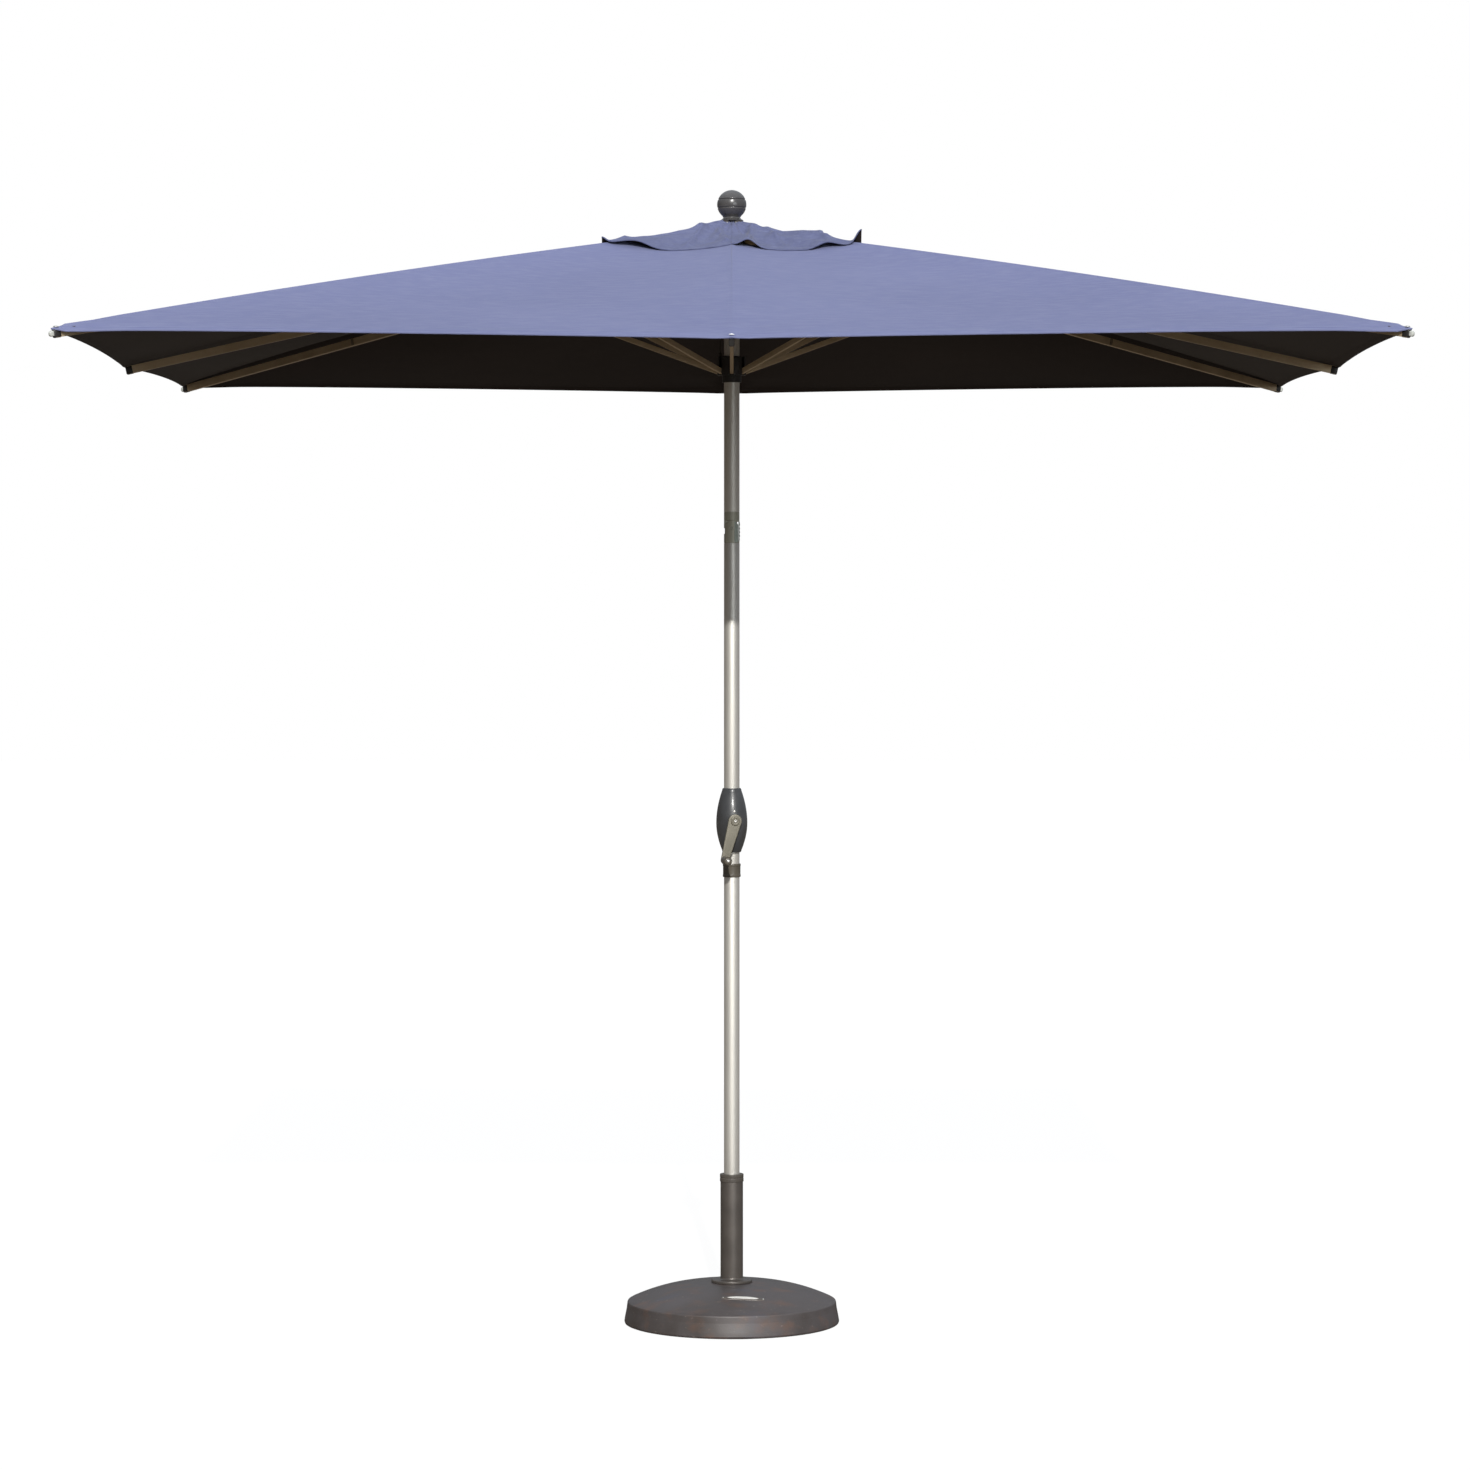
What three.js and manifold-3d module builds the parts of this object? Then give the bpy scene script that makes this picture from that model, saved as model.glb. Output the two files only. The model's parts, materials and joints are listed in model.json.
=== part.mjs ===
// Rectangular market umbrella with a push-button tilt joint, a crank lift and a round weighted base.
// Millimetres, +Z up. The origin is on the floor, in the middle of the base's underside.
// +X runs along the canopy's long side and the crank is on the -Y side.
import * as THREE from 'three';
import { mergeVertices } from 'three/addons/utils/BufferGeometryUtils.js';
import Module from 'manifold-3d';

const wasm = await Module();
wasm.setup();

// ---- Driving dimensions ----
// Each block starts with its own sizes; what fits another piece is worked out from that piece's values.
const GAP = 0.3; // clearance between pieces that touch or slide
const RUN_GAP = 0.5; // clearance at each side of a rib's tongue or a strut that swings
const RAD = Math.PI / 180;
const derive = (own, make) => ({ ...own, ...make(own) });

const POLE = { r: 17.5, wall: 1.5, footZ: 104, plugFlange: 8, plugLength: 18, splitZ: 1020, spigot: 40,
  topZ: 2420 };
const poleInnerR = POLE.r - POLE.wall;
const COLLAR = derive({ thick: 2.4, below: 16, above: 14, edge: 1 }, (c) => ({
  r: POLE.r + GAP + c.thick, lowZ: POLE.splitZ - c.below, highZ: POLE.splitZ + c.above }));

const RUNNER = derive({ slack: 1.7, neckWall: 2.5, slotDepth: 3, mouthDepth: 1.4, pivotOut: 9.8, rim: 4,
  underHub: 298, discBelow: 8, discAbove: 34, neckBelow: 24, mouthAbove: 9 }, (c) => {
  const boreR = POLE.r + c.slack;
  return { boreR, neckR: boreR + c.neckWall, slotR: boreR + c.slotDepth, mouthR: boreR + c.mouthDepth,
    pivotR: boreR + c.pivotOut, discR: boreR + c.pivotOut + c.rim };
});
const HUB = derive({ pivotOut: 3, pivotUp: 20, rim: 8, halfHeight: 14, slotDepth: 11, sleeveDown: 18,
  sleeveWall: 4.2, bossRim: 1, bossUp: 30 }, (c) => {
  const pivotR = RUNNER.pivotR + c.pivotOut;
  const pivotZ = POLE.topZ + c.pivotUp;
  const slotR = pivotR - c.slotDepth;
  return { pivotR, pivotZ, slotR, discR: pivotR + c.rim, sleeveZ: POLE.topZ - c.sleeveDown,
    sleeveR: POLE.r + GAP + c.sleeveWall, bossR: slotR + c.bossRim, bossZ: pivotZ + c.bossUp };
});
RUNNER.pivotZ = HUB.pivotZ - RUNNER.underHub;
RUNNER.discLow = RUNNER.pivotZ - RUNNER.discBelow;
RUNNER.discHigh = RUNNER.pivotZ + RUNNER.discAbove;
RUNNER.lowZ = RUNNER.pivotZ - RUNNER.neckBelow;
RUNNER.mouthZ = RUNNER.pivotZ + RUNNER.mouthAbove;

const CANOPY = derive({ halfX: 1370, halfY: 1065, apexUp: 26.5, cornerDrop: 295.5, sideDrop: 310.5,
  endDrop: 313.5, cloth: 1.2, openShare: 0.17, seam: 0.4 }, (c) => {
  const apexZ = HUB.pivotZ + c.apexUp;
  return { apexZ, cornerZ: apexZ - c.cornerDrop, sideZ: apexZ - c.sideDrop, endZ: apexZ - c.endDrop };
});
const VENT = derive({ halfX: 286, halfY: 223, apexUp: 16.5, hemUp: 4.2, cloth: 1.2, holeR: 24 }, (c) => {
  const share = Math.min(c.halfX / CANOPY.halfX, c.halfY / CANOPY.halfY);
  return { apexZ: CANOPY.apexZ + c.apexUp, hemZ: CANOPY.apexZ - CANOPY.cornerDrop * share + c.hemUp };
});

const RIB = { depth: 17.5, width: 10, underCloth: 12.5, neck: 20, tongue: 6, noseR: 8, lugDrop: 19, lug: 3,
  lugWall: 3, shortOfTip: 8 };
const STRUT = { depth: 12, width: 8, forkDepth: 14 };
const PIN = { hubR: 3, strutR: 2.5 };
const FOLD = { closedDeg: 86, runnerTravel: 700 };

const TILT = derive({ underTop: 630, below: 33, above: 36, cheekInset: 1, cheekGap: 0.8, noseInset: 5.5,
  slotHalf: 7.3, slotClear: 1, pinR: 4, pinShort: 1.2, cordInset: 9 }, (c) => {
  const pivotZ = POLE.topZ - c.underTop;
  return { pivotZ, lowZ: pivotZ - c.below, highZ: pivotZ + c.above, cheekR: POLE.r - c.cheekInset,
    noseR: POLE.r - c.noseInset, cordX: c.cordInset - poleInnerR };
});
const BUTTON = derive({ proud: 1.2, sunk: 2.5, halfWidth: 9.5, aboveLow: 5, aboveTilt: 14, travel: 2.4,
  springUp: 5, springR: 2.6, springWire: 0.55, springTurns: 4, springSeat: 10 }, (c) => {
  const lowZ = TILT.lowZ + c.aboveLow;
  const backX = POLE.r - c.sunk;
  return { faceR: POLE.r + c.proud, backX, lowZ, highZ: TILT.pivotZ + c.aboveTilt, springZ: lowZ + c.springUp,
    springBackX: backX - c.springSeat };
});

const CRANK = derive({ turnDeg: 9, axisZ: 1132, drumClear: 4.9, flangeClear: 3.8, drumHalf: 8.5,
  flangeHalf: 10, axleR: 4, armLength: 91, armLeanDeg: 15, hubR: 15, endR: 9, armThick: 7, gripPinR: 3,
  gripR: 10,
  gripLength: 46 }, (c) => ({ drumR: poleInnerR - c.drumClear, flangeR: poleInnerR - c.flangeClear }));
const HOUSING = derive({ half: 72, wideBelow: 6, swell: 17.5, endWall: 2, wall: 2.5, frontStretch: 1.18,
  rearStretch: 0.95, snoutWall: 6, snoutOut: 3 }, (c) => ({
  lowZ: CRANK.axisZ - c.half, highZ: CRANK.axisZ + c.half, wideZ: CRANK.axisZ - c.wideBelow,
  r: POLE.r + c.swell, endR: POLE.r + c.endWall }));

const TUBE = derive({ slack: 5.7, wall: 2.2, footZ: 12, topZ: 331, flangeOut: 20.6, flangeThick: 7,
  flangeEdge: 2 }, (c) => {
  const r = POLE.r + c.slack + c.wall;
  return { r, flangeR: r + c.flangeOut };
});
const BASE = derive({ footR: 242, rimR: 234, rimZ: 50, domeZ: 91, flangeSeat: 4, domePower: 2.1,
  footChamfer: 5, sides: 40 }, (c) => ({ domeR: TUBE.flangeR + c.flangeSeat }));
const CAP = derive({ wall: 1, lap: 13, top: 4, edge: 0.6 }, (c) => ({
  r: TUBE.r + GAP + c.wall, lowZ: TUBE.topZ - c.lap, highZ: TUBE.topZ + c.top }));
const CLAMP = derive({ underTop: 46, bossR: 9, bossLength: 16.6, screwR: 4, knobR: 21, lobe: 2.5, knobGap: 3,
  knobThick: 16, lobes: 6 }, (c) => ({ z: TUBE.topZ - c.underTop, bossY: TUBE.r + c.bossLength }));
const PLATE = { x: 25, y: -155, halfX: 48, halfY: 9, thick: 1.2 };

const CORD = derive({ r: 1.5, sides: 8, eyeAzimuthDeg: 161, eyeOut: 8.3, lead: 30, tiltLead: 40 }, (c) => ({
  eyeR: RUNNER.boreR + c.eyeOut }));
const PULLEY = derive({ x: -9, underTop: 42, r: 12, grooveR: 10, grooveHalf: 0.8, half: 3, axleR: 2.5,
  lift: 1.2, slotSide: 1, slotDown: 8, slotUp: 2 }, (c) => ({
  z: POLE.topZ - c.underTop, axleHalf: Math.sqrt(poleInnerR ** 2 - (c.axleR - c.x) ** 2) - RUN_GAP }));
const FINIAL = derive({ flangeR: 30.5, flangeSunk: 1, flangeThick: 4, neckR: 19, ballR: 33, ballUp: 37,
  stemR: 8, stemDown: 20, groove: 1.2, grooveUp: [-7.5, 11.5] }, (c) => {
  const flangeZ = VENT.apexZ - c.flangeSunk;
  const ballZ = flangeZ + c.ballUp;
  return { flangeZ, ballZ, stemZ: HUB.bossZ - c.stemDown, grooveZ: c.grooveUp.map((up) => ballZ + up) };
});

// ---- Materials ----
const material = (color, roughness, metalness) =>
  new THREE.MeshStandardMaterial({ color, roughness, metalness });
const CLOTH = material(0x7a80a5, 0.9, 0);
const SILVER = material(0xb9b4aa, 0.35, 0.9);
const RIB_METAL = material(0x6f6454, 0.45, 0.7);
const BLACK_PLASTIC = material(0x2b2a28, 0.5, 0);
const HOUSING_PLASTIC = material(0x4a4c4e, 0.3, 0.1);
const CRANK_METAL = material(0x7f7b70, 0.5, 0.4);
const STEEL = material(0x9a9a98, 0.3, 1);
const CONCRETE = material(0x5c5653, 0.7, 0);
const TUBE_PAINT = material(0x524d49, 0.45, 0.3);
const ROPE = material(0x3a3834, 0.9, 0);
const PLATE_METAL = material(0xc9c6bd, 0.4, 0.6);

const umbrella = new THREE.Group();

// ---- Solids ----

// One closed triangle set from any geometry: shared points merged, empty triangles dropped, faces turned out.
function closed(geometry) {
  const bare = geometry.clone();
  bare.deleteAttribute('normal');
  bare.deleteAttribute('uv');
  const merged = mergeVertices(bare, 1e-3);
  const p = merged.attributes.position;
  const index = Array.from(merged.index.array);
  const kept = [];
  let volume = 0;
  const [a, b, c] = [new THREE.Vector3(), new THREE.Vector3(), new THREE.Vector3()];
  for (let i = 0; i < index.length; i += 3) {
    const [u, v, w] = index.slice(i, i + 3);
    if (u === v || v === w || w === u) continue;
    kept.push([u, v, w]);
    volume += a.fromBufferAttribute(p, u).dot(b.fromBufferAttribute(p, v).cross(c.fromBufferAttribute(p, w)));
  }
  merged.setIndex((volume < 0 ? kept.map(([u, v, w]) => [u, w, v]) : kept).flat());
  return merged;
}

function solid(geometry) {
  const g = closed(geometry);
  return new wasm.Manifold(new wasm.Mesh({ numProp: 3,
    vertProperties: new Float32Array(g.attributes.position.array),
    triVerts: new Uint32Array(g.index.array) }));
}

function surface(body) {
  const { vertProperties, triVerts } = body.getMesh();
  const g = new THREE.BufferGeometry();
  g.setAttribute('position', new THREE.BufferAttribute(vertProperties, 3));
  g.setIndex(new THREE.BufferAttribute(triVerts, 1));
  return g;
}

// Adds a named mesh to a group; shape is a geometry or a cut solid.
function piece(name, shape, finish, parent = umbrella) {
  const geometry = shape.isBufferGeometry ? closed(shape) : surface(shape);
  const mesh = new THREE.Mesh(geometry, finish);
  mesh.name = name;
  parent.add(mesh);
  return mesh;
}

// Turned round the Z axis from a closed outline of [radius, z] points.
function turned(outline, sides = 24) {
  const points = [...outline, outline[0]].map(([r, z]) => new THREE.Vector2(r, z));
  return new THREE.LatheGeometry(points, sides).rotateX(Math.PI / 2);
}

const ring = (inner, outer, low, high, sides) =>
  turned([[inner, low], [outer, low], [outer, high], [inner, high]], sides);
const rod = (r, low, high, sides = 16) =>
  new THREE.CylinderGeometry(r, r, high - low, sides).rotateX(Math.PI / 2).translate(0, 0, (low + high) / 2);
const rodY = (r, low, high, sides = 16) =>
  new THREE.CylinderGeometry(r, r, high - low, sides).translate(0, (low + high) / 2, 0);
const rodX = (r, low, high, sides = 16) => rodY(r, -high, -low, sides).rotateZ(Math.PI / 2);
const block = ([x0, x1], [y0, y1], [z0, z1]) =>
  new THREE.BoxGeometry(x1 - x0, y1 - y0, z1 - z0).translate((x0 + x1) / 2, (y0 + y1) / 2, (z0 + z1) / 2);

// A flat plate in the XZ plane, of the given outline, `half` thick on each side of Y = 0.
function plate(outline, half) {
  const shape = new THREE.Shape(outline.map(([x, z]) => new THREE.Vector2(x, z)));
  return new THREE.ExtrudeGeometry(shape, { depth: 2 * half, bevelEnabled: false })
    .rotateX(Math.PI / 2).translate(0, half, 0);
}

// A strap outline: two round ends of their own radius at two points on the X axis.
function strap(x0, r0, x1, r1, steps = 5) {
  const lean = Math.acos((r0 - r1) / (x1 - x0));
  const arc = (x, r, from, to) => Array.from({ length: steps + 1 }, (_, i) => {
    const t = from + ((to - from) * i) / steps;
    return [x + r * Math.cos(t), r * Math.sin(t)];
  });
  return [...arc(x1, r1, -lean, lean), ...arc(x0, r0, lean, 2 * Math.PI - lean)];
}

// A round cord along a list of points.
function cord(points, r = CORD.r, steps = 14, sides = CORD.sides) {
  const curve = new THREE.CatmullRomCurve3(points.map((p) => new THREE.Vector3(...p)), false, 'centripetal');
  const section = new THREE.Shape(Array.from({ length: sides }, (_, i) => {
    const t = (2 * Math.PI * i) / sides;
    return new THREE.Vector2(r * Math.cos(t), r * Math.sin(t));
  }));
  return new THREE.ExtrudeGeometry(section, { steps, extrudePath: curve, bevelEnabled: false });
}

// ---- Base ----
const holeR = TUBE.r + GAP;
const domeSteps = 5;
const dome = Array.from({ length: domeSteps + 1 }, (_, i) => {
  const out = 1 - i / domeSteps;
  return [BASE.domeR + (BASE.rimR - BASE.domeR) * out,
    BASE.domeZ - (BASE.domeZ - BASE.rimZ) * out ** BASE.domePower];
});
piece('base_weight', turned([[0, 0], [BASE.footR - BASE.footChamfer, 0], [BASE.footR, BASE.footChamfer],
  ...dome, [holeR, BASE.domeZ], [holeR, TUBE.footZ - GAP], [0, TUBE.footZ - GAP]], BASE.sides), CONCRETE);

const flangeZ = BASE.domeZ + GAP;
const flangeHigh = flangeZ + TUBE.flangeThick;
const sleeve = solid(turned([[TUBE.r - TUBE.wall, TUBE.footZ], [TUBE.r, TUBE.footZ], [TUBE.r, flangeZ],
  [TUBE.flangeR, flangeZ], [TUBE.flangeR, flangeHigh - TUBE.flangeEdge],
  [TUBE.flangeR - TUBE.flangeEdge, flangeHigh], [TUBE.r, flangeHigh], [TUBE.r, TUBE.topZ],
  [TUBE.r - TUBE.wall, TUBE.topZ]], 28));
const boss = solid(rodY(CLAMP.bossR, TUBE.r - TUBE.wall / 2, CLAMP.bossY).translate(0, 0, CLAMP.z));
const screwHole = solid(rodY(CLAMP.screwR + GAP, POLE.r, CLAMP.bossY + 1).translate(0, 0, CLAMP.z));
piece('base_tube', sleeve.add(boss).subtract(screwHole), TUBE_PAINT);

piece('tube_cap', turned([[POLE.r + GAP, TUBE.topZ + GAP], [TUBE.r + GAP, TUBE.topZ + GAP],
  [TUBE.r + GAP, CAP.lowZ], [CAP.r, CAP.lowZ], [CAP.r, CAP.highZ - CAP.edge], [CAP.r - CAP.edge, CAP.highZ],
  [POLE.r + GAP, CAP.highZ]]), BLACK_PLASTIC);

const knobOutline = Array.from({ length: 36 }, (_, i) => {
  const t = (2 * Math.PI * i) / 36;
  const r = CLAMP.knobR - CLAMP.lobe + CLAMP.lobe * Math.cos(CLAMP.lobes * t);
  return [r * Math.cos(t), r * Math.sin(t)];
});
const knobY = CLAMP.bossY + CLAMP.knobGap;
const knobHead = plate(knobOutline, CLAMP.knobThick / 2).translate(0, knobY + CLAMP.knobThick / 2, CLAMP.z);
const knobScrew = rodY(CLAMP.screwR, POLE.r + GAP, knobY + 1).translate(0, 0, CLAMP.z);
piece('clamp_knob', solid(knobHead).add(solid(knobScrew)), BLACK_PLASTIC);

// The plate is cut from a skin that lies on the dome, so it bends with it.
const domeRaised = (lift) => solid(turned([[0, 0], [BASE.rimR, 0], ...dome.map(([r, z]) => [r, z + lift]),
  [0, BASE.domeZ + lift]], BASE.sides));
piece('rating_plate', domeRaised(GAP + PLATE.thick).subtract(domeRaised(GAP))
  .intersect(solid(block([PLATE.x - PLATE.halfX, PLATE.x + PLATE.halfX],
    [PLATE.y - PLATE.halfY, PLATE.y + PLATE.halfY], [BASE.rimZ, BASE.domeZ]))), PLATE_METAL);

// ---- Pole ----
piece('lower_pole', ring(poleInnerR, POLE.r, POLE.footZ, POLE.splitZ - GAP, 28), SILVER);
const plugLowZ = POLE.footZ - POLE.plugFlange;
const plugHighZ = POLE.footZ + POLE.plugLength;
piece('pole_foot_plug', turned([[0, plugLowZ], [POLE.r, plugLowZ], [POLE.r, POLE.footZ - GAP],
  [poleInnerR - GAP, POLE.footZ - GAP], [poleInnerR - GAP, plugHighZ], [0, plugHighZ]]), BLACK_PLASTIC);
piece('pole_collar', turned([[POLE.r + GAP, COLLAR.lowZ], [COLLAR.r - COLLAR.edge, COLLAR.lowZ],
  [COLLAR.r, COLLAR.lowZ + COLLAR.edge], [COLLAR.r, COLLAR.highZ - COLLAR.edge],
  [COLLAR.r - COLLAR.edge, COLLAR.highZ], [POLE.r + GAP, COLLAR.highZ]]), HOUSING_PLASTIC);

const spigotR = poleInnerR - GAP;
const midTube = solid(turned([[spigotR - POLE.wall, POLE.splitZ - POLE.spigot],
  [spigotR, POLE.splitZ - POLE.spigot],
  [spigotR, POLE.splitZ], [POLE.r, POLE.splitZ], [POLE.r, TILT.lowZ - GAP], [poleInnerR, TILT.lowZ - GAP],
  [poleInnerR, POLE.splitZ + 4], [spigotR - POLE.wall, POLE.splitZ + 4]], 28));
const axleHole = rodY(CRANK.axleR + GAP, -POLE.r - 1, POLE.r + 1).rotateZ(CRANK.turnDeg * RAD)
  .translate(0, 0, CRANK.axisZ);
piece('mid_pole', midTube.subtract(solid(axleHole)), SILVER);

const upperTube = solid(ring(poleInnerR, POLE.r, TILT.highZ + GAP, POLE.topZ, 28));
const pulleySlotHalf = PULLEY.half + PULLEY.slotSide;
const pulleySlot = block([-POLE.r - 1, -pulleySlotHalf], [-pulleySlotHalf, pulleySlotHalf],
  [PULLEY.z - PULLEY.r - PULLEY.slotDown, PULLEY.z + PULLEY.r + PULLEY.slotUp]);
piece('upper_pole', upperTube.subtract(solid(pulleySlot)), SILVER);

// ---- Tilt joint: a fork on the lower pole, a nosed tongue on the upper one, and a pin along Y ----
const slotFloor = TILT.pivotZ - TILT.noseR - TILT.slotClear;
const cheekOutline = [[-POLE.r - 1, TILT.lowZ - 1], [POLE.r + 1, TILT.lowZ - 1], [POLE.r + 1, TILT.pivotZ],
  ...Array.from({ length: 13 }, (_, i) => {
    const t = (Math.PI * i) / 12;
    return [TILT.cheekR * Math.cos(t), TILT.pivotZ + TILT.cheekR * Math.sin(t)];
  }), [-POLE.r - 1, TILT.pivotZ]];
const cordBore = (low, high) => solid(rod(CORD.r + 1, low, high, 12).translate(TILT.cordX, 0, 0));
const fork = solid(rod(POLE.r, TILT.lowZ, TILT.highZ, 32)).intersect(solid(plate(cheekOutline, POLE.r + 1)))
  .subtract(solid(block([-POLE.r - 1, POLE.r + 1], [-TILT.slotHalf, TILT.slotHalf], [slotFloor, TILT.highZ])))
  .subtract(solid(block([BUTTON.backX - BUTTON.travel - GAP, POLE.r + 1],
    [-BUTTON.halfWidth - GAP, BUTTON.halfWidth + GAP], [BUTTON.lowZ - GAP, TILT.highZ])))
  .subtract(solid(rodX(BUTTON.springR + BUTTON.springWire + GAP, BUTTON.springBackX - 0.5, BUTTON.backX, 16)
    .translate(0, 0, BUTTON.springZ)))
  .subtract(solid(rodY(TILT.pinR + GAP, -POLE.r - 1, POLE.r + 1).translate(0, 0, TILT.pivotZ)))
  .subtract(cordBore(TILT.lowZ - 1, slotFloor + 1));
piece('tilt_fork', fork, HOUSING_PLASTIC);

const shoulderZ = TILT.pivotZ + TILT.cheekR + TILT.cheekGap;
const noseOutline = strap(0, TILT.noseR, TILT.highZ - TILT.pivotZ, TILT.noseR, 12)
  .map(([x, z]) => [z, TILT.pivotZ + x]);
const noseHalf = TILT.slotHalf - RUN_GAP;
const heel = block([-POLE.r, 0], [-noseHalf, noseHalf], [TILT.pivotZ, TILT.highZ]);
const tongue = solid(plate(noseOutline, noseHalf)).add(solid(heel))
  .intersect(solid(rod(POLE.r, TILT.lowZ, TILT.highZ, 32)))
  .add(solid(rod(POLE.r, shoulderZ, TILT.highZ, 32)))
  .subtract(solid(rodY(TILT.pinR + GAP, -POLE.r, POLE.r).translate(0, 0, TILT.pivotZ)))
  .subtract(cordBore(TILT.lowZ, TILT.highZ + 1));
piece('tilt_tongue', tongue, HOUSING_PLASTIC);
const tiltPin = rodY(TILT.pinR, -POLE.r + TILT.pinShort, POLE.r - TILT.pinShort, 20);
piece('tilt_pin', tiltPin, STEEL).position.z = TILT.pivotZ;

const buttonBlock = block([BUTTON.backX, BUTTON.faceR], [-BUTTON.halfWidth, BUTTON.halfWidth],
  [BUTTON.lowZ, BUTTON.highZ]);
piece('tilt_button', solid(buttonBlock).intersect(solid(rod(BUTTON.faceR, BUTTON.lowZ, BUTTON.highZ, 48))),
  CRANK_METAL);
const springLength = BUTTON.backX - GAP - BUTTON.springBackX - 2 * BUTTON.springWire;
const springSteps = BUTTON.springTurns * 10;
piece('button_spring', cord(Array.from({ length: springSteps + 1 }, (_, i) => {
  const t = (2 * Math.PI * i) / 10;
  return [BUTTON.springBackX + BUTTON.springWire + (springLength * i) / springSteps,
    BUTTON.springR * Math.cos(t), BUTTON.springZ + BUTTON.springR * Math.sin(t)];
}), BUTTON.springWire, springSteps, 4), STEEL);

// ---- Crank, in a group turned a little round the pole; -Y points out of its face ----
const crankGroup = new THREE.Group();
crankGroup.rotation.z = CRANK.turnDeg * RAD;
umbrella.add(crankGroup);

// The housing's outline: two arcs that swell from the ends to the widest height.
function housingOutline(inset) {
  const swell = (from, share) => [
    HOUSING.endR - inset + (HOUSING.r - HOUSING.endR) * Math.sin((share * Math.PI) / 2),
    from + (HOUSING.wideZ - from) * share,
  ];
  const shares = [0, 0.25, 0.5, 0.75, 1];
  const low = shares.map((s) => swell(HOUSING.lowZ + inset, s));
  const high = shares.slice(0, -1).reverse().map((s) => swell(HOUSING.highZ - inset, s));
  return [[0, HOUSING.lowZ + inset], ...low, ...high, [0, HOUSING.highZ - inset]];
}
function housingShell(side, stretch) {
  const beyond = 2 * HOUSING.r;
  const half = block([-beyond, beyond], side < 0 ? [-beyond, -GAP / 2] : [GAP / 2, beyond],
    [HOUSING.lowZ - 1, HOUSING.highZ + 1]);
  return solid(turned(housingOutline(0), 24).scale(1, stretch, 1))
    .subtract(solid(turned(housingOutline(HOUSING.wall), 24).scale(1, stretch, 1)))
    .subtract(solid(rod(POLE.r + GAP, HOUSING.lowZ - 1, HOUSING.highZ + 1, 32)))
    .intersect(solid(half));
}
const housingFrontY = -HOUSING.r * HOUSING.frontStretch;
const snoutFrontY = housingFrontY - HOUSING.snoutOut;
const snout = solid(rodY(CRANK.axleR + HOUSING.snoutWall, snoutFrontY, (housingFrontY - POLE.r) / 2, 24)
  .translate(0, 0, CRANK.axisZ));
const axleBore = solid(rodY(CRANK.axleR + GAP, snoutFrontY - 1, 0, 20).translate(0, 0, CRANK.axisZ));
const poleSpace = solid(rod(POLE.r + GAP, HOUSING.lowZ, HOUSING.highZ, 32));
piece('crank_housing_front', housingShell(-1, HOUSING.frontStretch).add(snout).subtract(poleSpace)
  .subtract(axleBore), HOUSING_PLASTIC, crankGroup);
piece('crank_housing_rear', housingShell(1, HOUSING.rearStretch), HOUSING_PLASTIC, crankGroup);

const armBackY = snoutFrontY - RUN_GAP;
const armFrontY = armBackY - CRANK.armThick;
const spoolOutline = [[0, armFrontY + 1.5], [CRANK.axleR, armFrontY + 1.5], [CRANK.axleR, -CRANK.flangeHalf],
  [CRANK.flangeR, -CRANK.flangeHalf], [CRANK.flangeR, -CRANK.drumHalf], [CRANK.drumR, -CRANK.drumHalf],
  [CRANK.drumR, CRANK.drumHalf], [CRANK.flangeR, CRANK.drumHalf], [CRANK.flangeR, CRANK.flangeHalf],
  [CRANK.axleR, CRANK.flangeHalf], [CRANK.axleR, POLE.r + 2], [0, POLE.r + 2]];
const spool = piece('crank_spool', turned(spoolOutline, 20).rotateX(-Math.PI / 2), STEEL, crankGroup);
spool.position.z = CRANK.axisZ;

const gripBackY = armFrontY - RUN_GAP;
const gripFrontY = gripBackY - CRANK.gripLength;
const armPlate = plate(strap(0, CRANK.hubR, CRANK.armLength, CRANK.endR, 10), CRANK.armThick / 2)
  .translate(0, (armBackY + armFrontY) / 2, 0);
const arm = solid(armPlate)
  .subtract(solid(rodY(CRANK.axleR + GAP, armFrontY + 1.2, armBackY + 1, 20)))
  .add(solid(rodY(CRANK.gripPinR, gripFrontY - 0.8, armFrontY + 1, 14).translate(CRANK.armLength, 0, 0)));
const crankArm = piece('crank_arm', arm, CRANK_METAL, crankGroup);
crankArm.position.z = CRANK.axisZ;
crankArm.rotation.y = (90 + CRANK.armLeanDeg) * RAD;
const gripPins = turned([[CRANK.gripPinR + GAP, -gripBackY], [CRANK.gripR - 1.5, -gripBackY],
  [CRANK.gripR, -gripBackY + 3], [CRANK.gripR - 1.2, (-gripBackY - gripFrontY) / 2],
  [CRANK.gripR, -gripFrontY - 4],
  [CRANK.gripR - 2, -gripFrontY], [CRANK.gripPinR + GAP, -gripFrontY]], 24).rotateX(Math.PI / 2);
const grip = piece('crank_grip', gripPins, BLACK_PLASTIC, crankGroup);
const armLean = CRANK.armLeanDeg * RAD;
grip.position.set(-CRANK.armLength * Math.sin(armLean), 0, CRANK.axisZ - CRANK.armLength * Math.cos(armLean));

// ---- Top hub and runner: round bodies with a radial slot for each rib or strut ----
const cornerAzimuth = Math.atan2(CANOPY.halfY, CANOPY.halfX);
const azimuths = [0, cornerAzimuth, Math.PI / 2, Math.PI - cornerAzimuth, Math.PI, Math.PI + cornerAzimuth,
  (3 * Math.PI) / 2, 2 * Math.PI - cornerAzimuth];
function slotted(body, slotHalf, fromR, low, high) {
  return azimuths.reduce((cut, t) => cut.subtract(
    solid(block([fromR, 2 * HUB.discR], [-slotHalf, slotHalf], [low, high]).rotateZ(t))), body);
}

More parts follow.
